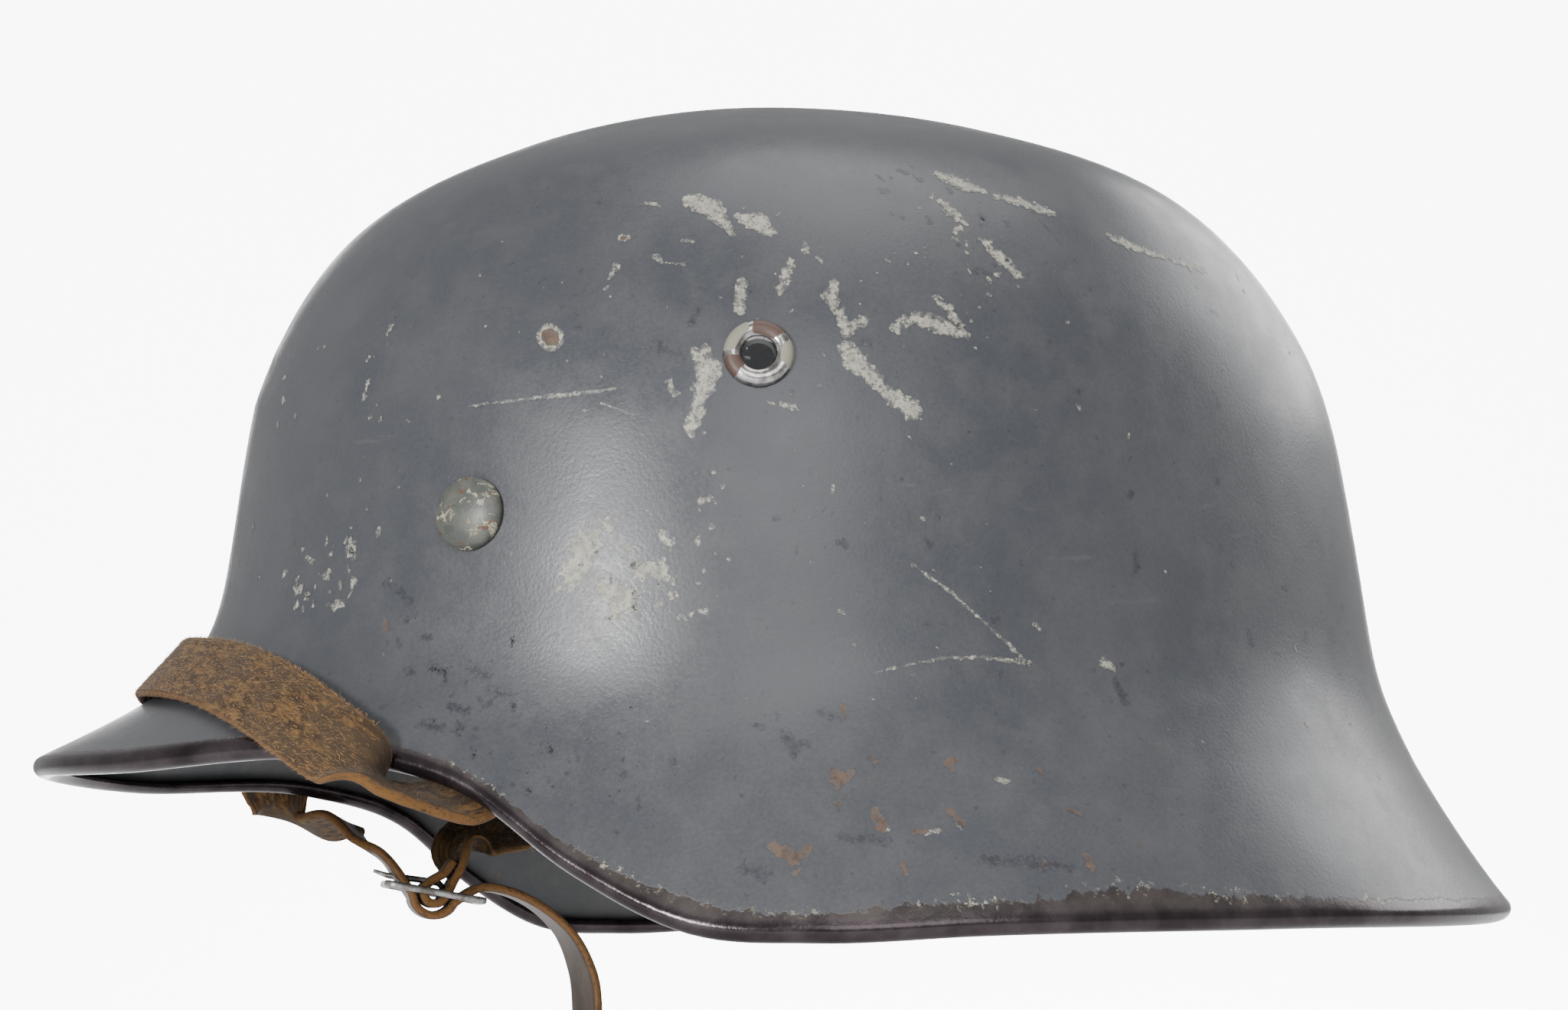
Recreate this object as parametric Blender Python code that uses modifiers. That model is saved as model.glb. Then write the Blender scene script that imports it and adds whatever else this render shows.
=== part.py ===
"""Steel service helmet: flared shell with a rolled rim, vents, rivets and a buckled chin strap.

Metres, +Z up. The front faces -Y and the wearer's left is +X. The origin is the highest point
of the hollow, where the crown of a head comes. Azimuth turns about Z, from 0 at the front
through 90 at the wearer's left to 180 at the back.
"""
import math

import bmesh
import bpy
import numpy as np
from mathutils import Matrix, Vector

MM = 0.001

# Shell, measured on its outer face, with heights above the plane of the side rim
CROWN_HEIGHT = 162.4 * MM
NECK_HEIGHT = 46.8 * MM
NECK_FRONT = 103.2 * MM
NECK_REAR = 119.6 * MM
NECK_HALF_WIDTH = 97.2 * MM
VISOR_REACH = 36.5 * MM
VISOR_HEIGHT = 40.7 * MM
SKIRT_FLARE = 24.8 * MM
SHEET = 1.15 * MM
ROLL_RADIUS = 2.0 * MM
ROLL_TURN = 240.0
GAP = 0.3 * MM
FACET_DEPTH = 0.3 * MM

# Rivets and vents
RIVET_AZIMUTH = 50.3
RIVET_HEIGHT = 74.8 * MM
RIVET_HEAD_RADIUS = 6.3 * MM
RIVET_HEAD_HEIGHT = 2.9 * MM
RIVET_SHANK_RADIUS = 2.0 * MM
CLENCH_RADIUS = 4.0 * MM
CLENCH_THICKNESS = 1.0 * MM
VENT_AZIMUTH = 80.4
VENT_HEIGHT = 97.9 * MM
VENT_FLANGE_RADIUS = 5.9 * MM
VENT_FLANGE_HEIGHT = 1.7 * MM
VENT_HOLE_RADIUS = 2.8 * MM
VENT_WALL = 0.8 * MM
VENT_CRIMP_RADIUS = 5.0 * MM

# Hangers of the chin strap
HANGER_SHEET = 1.2 * MM
HANGER_WIDTH = 11.0 * MM
HANGER_BAR = 2.0 * MM
SLOT_HEIGHT = 4.0 * MM
SLOT_SPARE = 1.0 * MM

# Chin strap and buckle
STRAP_WIDTH = 13.8 * MM
STRAP_THICKNESS = 1.8 * MM
BUCKLE_PLACE = Vector((-60.0, -61.8, 12.9)) * MM
BUCKLE_PITCH = 13.4
BUCKLE_LENGTH = 21.6 * MM
BUCKLE_WIDTH = 20.5 * MM
BUCKLE_BAR = 1.8 * MM
BUCKLE_THICKNESS = 1.5 * MM
PRONG_RADIUS = 0.7 * MM
FOLD_LENGTH = 7.5 * MM
FOLD_LIFT = 72.0

# Turns of a strap's middle line round a bar, in degrees
FOLD_TURNS = (-90, -126, -162, 162, 126, 90)
UNDER_TURNS = (195, 220, 245, 270, 295, 320, 345)
PRONG_TURNS = (205, 235, 265, 295, 325, 355, 25, 55, 80)

# Counts of faces
HALF_STEPS = 32
DOME_STEPS = 13
FLARE_STEPS = 6
ROLL_STEPS = 5
ROUND_STEPS = 16
HEAD_STEPS = 5
HANGER_STEPS = 18
STRAP_STEPS_LONG = 200
STRAP_STEPS_SHORT = 70

# Dome profile: polar angle at the neck's centre, and reach as a share of the plain ellipse
DOME = (
    (0.0, 1.000),
    (15.0, 1.001),
    (30.0, 1.038),
    (45.0, 1.089),
    (60.0, 1.073),
    (75.0, 1.022),
    (90.0, 1.000),
)

# Brim round the shell: azimuth, overhang as shares of VISOR_REACH and SKIRT_FLARE, rim height
# as a share of VISOR_HEIGHT, lean of the edge from upright in degrees, polar angle where the
# flare leaves the dome, and the pull of the upper end of its curve
BRIM = (
    (0.0, 1.00, 0.00, 1.000, 66.0, 79.0, 0.30),
    (20.0, 0.79, 0.00, 0.950, 62.0, 80.0, 0.28),
    (40.0, 0.41, 0.00, 0.905, 50.0, 83.0, 0.22),
    (52.0, 0.15, 0.22, 0.720, 38.0, 86.0, 0.17),
    (62.0, 0.04, 0.44, 0.370, 30.0, 89.0, 0.14),
    (72.0, 0.00, 0.63, 0.117, 25.0, 90.0, 0.13),
    (82.0, 0.00, 0.74, 0.057, 25.0, 90.0, 0.13),
    (95.0, 0.00, 0.86, 0.048, 25.0, 90.0, 0.13),
    (120.0, 0.00, 1.00, 0.003, 27.0, 90.0, 0.13),
    (150.0, 0.00, 0.97, -0.044, 36.0, 90.0, 0.13),
    (180.0, 0.00, 0.89, -0.020, 34.0, 90.0, 0.13),
)
LOWER_PULL = 0.35

# Hanger: azimuth, height as a share of RIVET_HEIGHT, extra depth in from the shell as a share
# of STRAP_THICKNESS, and width as a share of HANGER_WIDTH
HANGER = (
    (47.6, 1.039, 0.00, 0.80),
    (50.3, 0.995, 0.00, 1.00),
    (58.0, 0.901, 0.05, 1.00),
    (65.0, 0.782, 0.25, 1.00),
    (69.5, 0.676, 0.60, 1.30),
    (70.0, 0.582, 1.10, 1.75),
    (68.0, 0.507, 1.60, 1.85),
)

# Long strap outside the shell, from the left hanger round the front to the right of the visor:
# azimuth, how far the middle lies out from the end of the flare and how high above it, both as
# shares of STRAP_WIDTH, and the direction of the width as shares outward, frontward and up
LONG_STRAP = (
    (61.5, -0.88, 1.06, 0.00, 0.45, 0.85),
    (56.5, -0.80, 0.64, 0.00, 0.62, 0.74),
    (52.8, -0.60, 0.12, 0.00, 0.74, 0.66),
    (50.5, -0.26, -0.34, 0.03, 0.86, 0.48),
    (48.7, 0.12, -0.45, 0.00, 0.92, 0.38),
    (47.0, 0.51, -0.34, -0.10, 0.82, 0.52),
    (44.8, 0.53, -0.11, -0.44, 0.36, 0.74),
    (41.4, 0.36, 0.07, -0.55, 0.05, 0.78),
    (35.8, -0.01, 0.36, -0.55, 0.00, 0.80),
    (29.3, -0.54, 0.67, -0.62, 0.00, 0.75),
    (21.0, -1.11, 0.97, -0.68, 0.00, 0.72),
    (10.0, -1.51, 1.09, -0.69, 0.00, 0.72),
    (0.0, -1.65, 1.12, -0.69, 0.00, 0.72),
    (-10.0, -1.51, 1.09, -0.69, 0.00, 0.72),
    (-21.0, -1.12, 0.95, -0.68, 0.00, 0.72),
    (-29.3, -0.53, 0.64, -0.62, 0.00, 0.75),
    (-34.6, 0.02, 0.31, -0.56, 0.05, 0.78),
    (-38.4, 0.40, -0.01, -0.44, 0.24, 0.82),
    (-41.0, 0.57, -0.27, -0.24, 0.56, 0.74),
    (-42.8, 0.34, -0.60, 0.00, 0.90, 0.42),
)

# Long strap from the rim to the buckle, and its tail, as places from the buckle's middle along
# X, along the buckle and up from it, in shares of STRAP_WIDTH, and the width's direction
LONG_STRAP_IN = (
    (-0.65, -1.54, 0.80, 0.88, -0.45, 0.10),
    (-0.43, -1.23, 0.57, 0.97, -0.20, 0.00),
    (-0.16, -0.80, 0.36, 1.00, 0.00, 0.00),
)
TAIL = (
    (0.00, 1.40, 0.15, 1.00, 0.04, 0.00),
    (0.00, 2.07, -0.22, 0.98, 0.16, 0.00),
    (0.00, 2.49, -0.80, 0.96, 0.25, 0.00),
    (0.00, 2.67, -1.38, 0.96, 0.26, 0.00),
    (0.00, 2.72, -1.80, 0.96, 0.26, 0.00),
)

# Short strap between the buckle and the right hanger: the same columns as the tail
SHORT_STRAP = (
    (-0.30, 0.32, 0.76, 0.85, 0.34, -0.40),
    (-0.70, 0.62, 1.02, 0.72, 0.45, -0.52),
    (-1.20, 1.06, 1.26, 0.50, 0.62, -0.58),
)


def smooth(table, column, at):
    """Read a column of a table at a station, on a smooth curve that is level at both ends."""
    stations = [row[0] for row in table]
    values = [row[column] for row in table]
    slopes = [0.0] * len(table)
    for i in range(1, len(table) - 1):
        before = (values[i] - values[i - 1]) / (stations[i] - stations[i - 1])
        after = (values[i + 1] - values[i]) / (stations[i + 1] - stations[i])
        left = stations[i + 1] - stations[i]
        right = stations[i] - stations[i - 1]
        slopes[i] = (before * left + after * right) / (left + right)
    at = min(max(at, stations[0]), stations[-1])
    k = max(i for i in range(len(table) - 1) if stations[i] <= at)
    span = stations[k + 1] - stations[k]
    u = (at - stations[k]) / span
    blend = 3 * u ** 2 - 2 * u ** 3
    value = values[k] * (1 - blend) + values[k + 1] * blend
    value += span * slopes[k] * (u - 2 * u ** 2 + u ** 3)
    return value + span * slopes[k + 1] * (u ** 3 - u ** 2)


def outward(azimuth):
    """Level direction that points out of the helmet at an azimuth."""
    turn = math.radians(azimuth)
    return Vector((math.sin(turn), -math.cos(turn), 0.0))


def neck_radius(azimuth):
    """Reach of the neck from the middle: two half ellipses."""
    turn = math.radians(azimuth)
    length = NECK_FRONT if math.cos(turn) > 0 else NECK_REAR
    return 1.0 / math.hypot(math.cos(turn) / length, math.sin(turn) / NECK_HALF_WIDTH)


def dome_point(azimuth, polar):
    """Reach and height of the dome at a polar angle."""
    share = smooth(DOME, 1, polar)
    reach = neck_radius(azimuth) * share * math.sin(math.radians(polar))
    height = (CROWN_HEIGHT - NECK_HEIGHT) * share * math.cos(math.radians(polar))
    return Vector((reach, NECK_HEIGHT + height))


def flare_curve(azimuth):
    """Four control points of the flare's curve, as reach and height."""
    side = abs((azimuth + 180.0) % 360.0 - 180.0)
    overhang = VISOR_REACH * smooth(BRIM, 1, side) + SKIRT_FLARE * smooth(BRIM, 2, side)
    lean = math.radians(smooth(BRIM, 4, side))
    leave = smooth(BRIM, 5, side)
    edge = Vector((math.sin(lean), -math.cos(lean)))
    start = dome_point(azimuth, leave)
    down = (start - dome_point(azimuth, leave - 2.0)).normalized()
    end = Vector((neck_radius(azimuth) + overhang, VISOR_HEIGHT * smooth(BRIM, 3, side)))
    end -= edge * ROLL_RADIUS
    chord = (end - start).length
    upper = start + down * chord * smooth(BRIM, 6, side)
    lower = end - edge * chord * LOWER_PULL
    return start, upper, lower, end, edge


def flare_point(azimuth, u):
    """Reach and height on the flare, u from 0 where it leaves the dome to 1 at the roll."""
    start, upper, lower, end, edge = flare_curve(azimuth)
    v = 1.0 - u
    return v ** 3 * start + 3 * v * v * u * upper + 3 * v * u * u * lower + u ** 3 * end


def in_space(azimuth, flat):
    """Point in the helmet's frame for a reach and a height above the side rim."""
    return outward(azimuth) * flat.x + Vector((0, 0, flat.y - CROWN_HEIGHT + SHEET))


def skin_point(azimuth, height):
    """Point of the outer face at an azimuth and a height above the side rim."""
    low, high = 0.0, 2.0
    leave = smooth(BRIM, 5, abs((azimuth + 180.0) % 360.0 - 180.0))

    def along(s):
        if s < 1.0:
            return dome_point(azimuth, leave * s)
        return flare_point(azimuth, s - 1.0)

    for _ in range(40):
        middle = (low + high) / 2
        if along(middle).y > height:
            low = middle
        else:
            high = middle
    return in_space(azimuth, along(low))


def skin_frame(azimuth, height):
    """Point of the outer face, its outward normal and the downhill direction."""
    step = 0.5 * MM
    point = skin_point(azimuth, height)
    downhill = (skin_point(azimuth, height - step) - skin_point(azimuth, height + step)).normalized()
    sideways = (skin_point(azimuth + 0.5, height) - skin_point(azimuth - 0.5, height)).normalized()
    normal = downhill.cross(sideways).normalized()
    return point, normal, downhill


def roll_points(azimuth):
    """The rolled rim, turning from the outer face down and inwards."""
    start, upper, lower, end, edge = flare_curve(azimuth)
    out = Vector((-edge.y, edge.x))
    centre = end - out * ROLL_RADIUS
    points = []
    for i in range(1, ROLL_STEPS + 1):
        turn = math.radians(ROLL_TURN * i / ROLL_STEPS)
        spoke = out * math.cos(turn) + edge * math.sin(turn)
        points.append(centre + spoke * ROLL_RADIUS)
    return points


def new_material(name, color, roughness, metallic=0.0):
    """Plain surface with a colour, a roughness and a metallic value."""
    material = bpy.data.materials.new(name)
    material.use_nodes = True
    shader = material.node_tree.nodes["Principled BSDF"]
    shader.inputs["Base Color"].default_value = (*color, 1.0)
    shader.inputs["Roughness"].default_value = roughness
    shader.inputs["Metallic"].default_value = metallic
    return material


def new_object(name, mesh, collection, material=None):
    """Put a mesh in a collection as a named object."""
    part = bpy.data.objects.new(name, mesh)
    collection.objects.link(part)
    if material:
        mesh.materials.append(material)
    return part


def mesh_from(name, points, faces):
    """Mesh from points and faces."""
    mesh = bpy.data.meshes.new(name)
    mesh.from_pydata([tuple(p) for p in points], [], faces)
    mesh.update()
    return mesh


def place_on(part, point, axis):
    """Stand an object's own Z along an axis at a point."""
    part.matrix_world = Matrix.Translation(point) @ axis.to_track_quat("Z", "Y").to_matrix().to_4x4()


def turned(name, profile, collection, material=None, closed=False):
    """Solid turned from a profile of radius and height that runs down its outer side."""
    count = len(profile)
    edges = [(i, i + 1) for i in range(count - 1)]
    if closed:
        edges.append((count - 1, 0))
    mesh = bpy.data.meshes.new(name)
    mesh.from_pydata([(r, 0.0, z) for r, z in profile], edges, [])
    part = new_object(name, mesh, collection, material)
    screw = part.modifiers.new("turn", "SCREW")
    screw.steps = ROUND_STEPS
    screw.render_steps = ROUND_STEPS
    screw.use_merge_vertices = True
    screw.merge_threshold = 0.00001
    return part


def cutter_pin(name, radius, half_length, cutters):
    """Plain cylinder that drills a hole."""
    mesh = bpy.data.meshes.new(name)
    work = bmesh.new()
    bmesh.ops.create_cone(work, cap_ends=True, segments=ROUND_STEPS, radius1=radius,
                          radius2=radius, depth=2 * half_length)
    work.to_mesh(mesh)
    work.free()
    return hide_cutter(new_object(name, mesh, cutters))


def cutter_box(name, size, place, axes, cutters):
    """Plain box that cuts a slot, with its sides along three axes."""
    mesh = bpy.data.meshes.new(name)
    work = bmesh.new()
    bmesh.ops.create_cube(work, size=1.0)
    bmesh.ops.scale(work, vec=size, verts=work.verts)
    work.to_mesh(mesh)
    work.free()
    part = hide_cutter(new_object(name, mesh, cutters))
    turn = Matrix([axes[0], axes[1], axes[2]]).transposed()
    part.matrix_world = Matrix.Translation(place) @ turn.to_4x4()
    return part


def hide_cutter(part):
    """Keep a cutter out of the built object."""
    part.hide_render = True
    part.display_type = "WIRE"
    return part


def cut(part, cutter):
    """Take a cutter's shape out of a part."""
    boolean = part.modifiers.new(cutter.name, "BOOLEAN")
    boolean.operation = "DIFFERENCE"
    boolean.solver = "EXACT"
    boolean.object = cutter


def build_shell(parts, cutters, material):
    """The steel shell: one sheet from the crown to the rolled rim, with its five holes."""
    rows = []
    for i in range(HALF_STEPS + 1):
        azimuth = 180.0 * i / HALF_STEPS
        leave = smooth(BRIM, 5, azimuth)
        flat = [dome_point(azimuth, leave * k / DOME_STEPS) for k in range(1, DOME_STEPS + 1)]
        flat += [flare_point(azimuth, k / FLARE_STEPS) for k in range(1, FLARE_STEPS + 1)]
        flat += roll_points(azimuth)
        rows.append([in_space(azimuth, f) for f in flat])
    count = len(rows[0])
    points = [Vector((0, 0, SHEET))] + [p for row in rows for p in row]
    faces = []
    for i in range(HALF_STEPS):
        here = 1 + i * count
        there = here + count
        faces.append((0, here, there))
        for k in range(count - 1):
            faces.append((here + k, here + k + 1, there + k + 1, there + k))
    shell = new_object("shell", mesh_from("shell", points, faces), parts, material)
    mirror = shell.modifiers.new("both halves", "MIRROR")
    mirror.use_clip = True
    mirror.merge_threshold = 0.00001
    thick = shell.modifiers.new("sheet", "SOLIDIFY")
    thick.thickness = SHEET
    thick.offset = -1.0
    thick.use_even_offset = True
    rivet_hole = RIVET_SHANK_RADIUS + GAP
    vent_hole = VENT_HOLE_RADIUS + VENT_WALL + GAP
    holes = [("rivet_hole_left", RIVET_AZIMUTH, RIVET_HEIGHT, rivet_hole),
             ("rivet_hole_right", -RIVET_AZIMUTH, RIVET_HEIGHT, rivet_hole),
             ("rivet_hole_rear", 180.0, RIVET_HEIGHT, rivet_hole),
             ("vent_hole_left", VENT_AZIMUTH, VENT_HEIGHT, vent_hole),
             ("vent_hole_right", -VENT_AZIMUTH, VENT_HEIGHT, vent_hole)]
    for name, azimuth, height, radius in holes:
        pin = cutter_pin(name, radius, 4 * SHEET, cutters)
        point, normal, downhill = skin_frame(azimuth, height)
        place_on(pin, point, normal)
        cut(shell, pin)
    return shell


def build_vents(parts, material):
    """Crimped bushes in the two vent holes."""
    barrel = VENT_HOLE_RADIUS + VENT_WALL
    inside = -SHEET - GAP - FACET_DEPTH
    crown = (VENT_HOLE_RADIUS + VENT_FLANGE_RADIUS) / 2
    profile = [(crown, VENT_FLANGE_HEIGHT),
               (VENT_FLANGE_RADIUS - VENT_WALL / 2, VENT_FLANGE_HEIGHT * 0.75),
               (VENT_FLANGE_RADIUS, GAP + VENT_WALL / 2),
               (VENT_FLANGE_RADIUS - VENT_WALL / 4, GAP),
               (barrel, GAP),
               (barrel, inside),
               (VENT_CRIMP_RADIUS, inside),
               (VENT_CRIMP_RADIUS, inside - VENT_WALL / 2),
               (barrel, inside - VENT_WALL),
               (VENT_HOLE_RADIUS, inside - VENT_WALL / 2),
               (VENT_HOLE_RADIUS, VENT_FLANGE_HEIGHT * 0.5),
               (VENT_HOLE_RADIUS + VENT_WALL / 2, VENT_FLANGE_HEIGHT * 0.85)]
    for name, side in (("vent_eyelet_left", 1), ("vent_eyelet_right", -1)):
        vent = turned(name, profile, parts, material, closed=True)
        point, normal, downhill = skin_frame(side * VENT_AZIMUTH, VENT_HEIGHT)
        place_on(vent, point, normal)


def build_rivets(parts, material):
    """Three domed rivets: two hold the hangers, and the rear one only the shell."""
    through = SHEET + 2 * GAP + FACET_DEPTH
    places = [("rivet_left", RIVET_AZIMUTH, through + HANGER_SHEET + GAP),
              ("rivet_right", -RIVET_AZIMUTH, through + HANGER_SHEET + GAP),
              ("rivet_rear", 180.0, through)]
    for name, azimuth, grip in places:
        profile = [(0.0, RIVET_HEAD_HEIGHT)]
        for i in range(1, HEAD_STEPS + 1):
            turn = math.radians(90.0 * i / HEAD_STEPS)
            height = 2 * GAP + (RIVET_HEAD_HEIGHT - 2 * GAP) * math.cos(turn)
            profile.append((RIVET_HEAD_RADIUS * math.sin(turn), height))
        low = GAP - grip
        profile += [(RIVET_HEAD_RADIUS * 0.97, GAP),
                    (RIVET_SHANK_RADIUS, GAP),
                    (RIVET_SHANK_RADIUS, low),
                    (CLENCH_RADIUS, low),
                    (CLENCH_RADIUS * 0.9, low - CLENCH_THICKNESS),
                    (0.0, low - CLENCH_THICKNESS)]
        rivet = turned(name, profile, parts, material)
        point, normal, downhill = skin_frame(azimuth, RIVET_HEIGHT)
        place_on(rivet, point, normal)


def curve_through(points, count):
    """Even points on a smooth curve through a few places, and their shares of its length."""
    knots = [0.0]
    for a, b in zip(points, points[1:]):
        knots.append(knots[-1] + (b - a).length)
    total = knots[-1]
    tables = [[(knots[i], p[axis]) for i, p in enumerate(points)] for axis in range(3)]
    out = []
    for i in range(count + 1):
        s = total * i / count
        out.append(Vector(open_smooth(table, s) for table in tables))
    return out, knots, total


def open_smooth(table, at):
    """Read a two-column table at a station, on a smooth curve with free ends."""
    last = len(table) - 1
    slopes = []
    for i in range(last + 1):
        low = max(i - 1, 0)
        high = min(i + 1, last)
        slopes.append((table[high][1] - table[low][1]) / (table[high][0] - table[low][0]))
    k = max([i for i in range(last) if table[i][0] <= at] or [0])
    span = table[k + 1][0] - table[k][0]
    u = (at - table[k][0]) / span
    blend = 3 * u ** 2 - 2 * u ** 3
    value = table[k][1] * (1 - blend) + table[k + 1][1] * blend
    value += span * slopes[k] * (u - 2 * u ** 2 + u ** 3)
    return value + span * slopes[k + 1] * (u ** 3 - u ** 2)


def strip(name, places, acrosses, widths, thickness, count, parts, material):
    """Flat strip along a smooth curve, turned so that its width follows the given directions."""
    line, knots, total = curve_through(places, count)
    sides = [[(knots[i], a[axis]) for i, a in enumerate(acrosses)] for axis in range(3)]
    spans = [(knots[i], w) for i, w in enumerate(widths)]
    points = []
    for i, middle in enumerate(line):
        s = total * i / count
        ahead = (line[min(i + 1, count)] - line[max(i - 1, 0)]).normalized()
        across = Vector(open_smooth(side, s) for side in sides)
        face = ahead.cross(across).normalized()
        across = face.cross(ahead).normalized()
        half = across * open_smooth(spans, s) / 2
        lift = face * thickness / 2
        points += [middle - half - lift, middle + half - lift]
        points += [middle + half + lift, middle - half + lift]
    faces = [(3, 2, 1, 0)]
    for i in range(count):
        base = 4 * i
        for k in range(4):
            n = (k + 1) % 4
            faces.append((base + k, base + n, base + 4 + n, base + 4 + k))
    last = 4 * count
    faces.append((last, last + 1, last + 2, last + 3))
    return new_object(name, mesh_from(name, points, faces), parts, material)


def hanger_frames(side):
    """Places, width directions and widths of a hanger, and the frame at its slot."""
    places, acrosses, widths = [], [], []
    for azimuth, share, extra, wide in HANGER:
        point, normal, downhill = skin_frame(side * azimuth, share * RIVET_HEIGHT)
        depth = SHEET + GAP + FACET_DEPTH + HANGER_SHEET / 2 + extra * STRAP_THICKNESS
        places.append(point - normal * depth)
        widths.append(wide * HANGER_WIDTH)
    for i in range(len(places)):
        ahead = places[min(i + 1, len(places) - 1)] - places[max(i - 1, 0)]
        point, normal, downhill = skin_frame(side * HANGER[i][0], HANGER[i][1] * RIVET_HEIGHT)
        acrosses.append(ahead.cross(normal).normalized())
    return places, acrosses, widths


def build_hangers(parts, cutters, material):
    """Steel strips inside the shell, from the side rivets to the ends of the chin strap."""
    frames = {}
    for name, side in (("strap_hanger_left", 1), ("strap_hanger_right", -1)):
        places, acrosses, widths = hanger_frames(side)
        hanger = strip(name, places, acrosses, widths, HANGER_SHEET, HANGER_STEPS, parts,
                       material)
        ahead = (places[-1] - places[-2]).normalized()
        face = ahead.cross(acrosses[-1]).normalized()
        across = face.cross(ahead).normalized()
        bar = places[-1] - ahead * HANGER_BAR / 2
        slot = places[-1] - ahead * (HANGER_BAR + SLOT_HEIGHT / 2)
        size = (STRAP_WIDTH + 2 * SLOT_SPARE, SLOT_HEIGHT, 8 * HANGER_SHEET)
        cut(hanger, cutter_box(name + "_slot", size, slot, (across, ahead, face), cutters))
        point, normal, downhill = skin_frame(side * RIVET_AZIMUTH, RIVET_HEIGHT)
        pin = cutter_pin(name + "_hole", RIVET_SHANK_RADIUS + GAP, 4 * HANGER_SHEET, cutters)
        place_on(pin, point, normal)
        cut(hanger, pin)
        frames[side] = (bar, ahead, across)
    return frames


def fold(bar, ahead, across, bar_radius):
    """Middle line of a strap's end folded round a bar, from its short leg to its long one."""
    off = ahead.cross(across).normalized()
    radius = bar_radius + GAP + STRAP_THICKNESS / 2
    close = radius - STRAP_THICKNESS - GAP
    flat = [(FOLD_LENGTH, close),
            (0.6 * FOLD_LENGTH, close - 0.15 * radius),
            (0.3 * FOLD_LENGTH, -0.6 * radius)]
    for turn in FOLD_TURNS:
        flat.append((radius * math.cos(math.radians(turn)), radius * math.sin(math.radians(turn))))
    flat += [(0.4 * FOLD_LENGTH, radius), (0.9 * FOLD_LENGTH, radius)]
    return [bar + ahead * a + off * b for a, b in flat]


def buckle_axes():
    """The buckle's own directions: across the strap, along it and up from the frame."""
    pitch = math.radians(BUCKLE_PITCH)
    along = Vector((0.0, math.cos(pitch), -math.sin(pitch)))
    up = Vector((0.0, math.sin(pitch), math.cos(pitch)))
    return Vector((1.0, 0.0, 0.0)), along, up


def buckle_middle():
    """Middle of the buckle in the helmet's frame."""
    return BUCKLE_PLACE - Vector((0, 0, CROWN_HEIGHT - SHEET))


def from_buckle(a, b, c):
    """Place at distances from the buckle's middle along its own directions."""
    across, along, up = buckle_axes()
    return buckle_middle() + across * a + along * b + up * c


def build_buckle(parts, steel):
    """Flat frame with a middle bar, and a prong hooked on that bar."""
    across, along, up = buckle_axes()
    turn = Matrix([across, along, up]).transposed().to_4x4()
    outline = bpy.data.curves.new("buckle_outline", "CURVE")
    outline.dimensions = "2D"
    outline.fill_mode = "BOTH"
    outline.extrude = BUCKLE_THICKNESS / 2
    window = (BUCKLE_LENGTH - 3 * BUCKLE_BAR) / 2
    middle = (window + BUCKLE_BAR) / 2
    corner = BUCKLE_BAR
    for half_x, half_y, shift, cut_off in (
            (BUCKLE_WIDTH / 2, BUCKLE_LENGTH / 2, 0.0, corner),
            (BUCKLE_WIDTH / 2 - BUCKLE_BAR, window / 2, middle, corner / 3),
            (BUCKLE_WIDTH / 2 - BUCKLE_BAR, window / 2, -middle, corner / 3)):
        loop = []
        for sx, sy in ((1, 1), (-1, 1), (-1, -1), (1, -1)):
            centre = (sx * (half_x - cut_off), shift + sy * (half_y - cut_off))
            start = math.degrees(math.atan2(sy, sx)) - 45.0
            for step in (0.0, 45.0, 90.0):
                angle = math.radians(start + step)
                loop.append((centre[0] + cut_off * math.cos(angle),
                             centre[1] + cut_off * math.sin(angle)))
        spline = outline.splines.new("POLY")
        spline.points.add(len(loop) - 1)
        for point, (x, y) in zip(spline.points, loop):
            point.co = (x, y, 0.0, 1.0)
        spline.use_cyclic_u = True
    frame = bpy.data.objects.new("buckle_frame", outline)
    parts.objects.link(frame)
    outline.materials.append(steel)
    frame.matrix_world = Matrix.Translation(buckle_middle()) @ turn

    radius = bar_reach() + GAP + PRONG_RADIUS
    rest = BUCKLE_THICKNESS / 2 + GAP + PRONG_RADIUS
    end = BUCKLE_LENGTH / 2
    path = []
    for angle in PRONG_TURNS:
        path.append((radius * math.cos(math.radians(angle)), radius * math.sin(math.radians(angle))))
    path += [(-end * 0.35, radius * 0.97),
             (-end + BUCKLE_BAR / 2, rest * 1.05),
             (-end * 1.22, rest * 1.3)]
    line = bpy.data.curves.new("buckle_prong", "CURVE")
    line.dimensions = "3D"
    line.bevel_depth = PRONG_RADIUS
    line.bevel_resolution = 2
    line.use_fill_caps = True
    spline = line.splines.new("POLY")
    spline.points.add(len(path) - 1)
    for point, (b, c) in zip(spline.points, path):
        point.co = (*from_buckle(0.0, b, c), 1.0)
    prong = bpy.data.objects.new("buckle_prong", line)
    parts.objects.link(prong)
    line.materials.append(steel)


def bar_reach():
    """Greatest reach of a bar of the buckle from its own middle line."""
    return math.hypot(BUCKLE_BAR, BUCKLE_THICKNESS) / 2


def hanger_reach():
    """Greatest reach of the hanger's lower bar from its own middle line."""
    return math.hypot(HANGER_BAR, HANGER_SHEET) / 2


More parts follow.
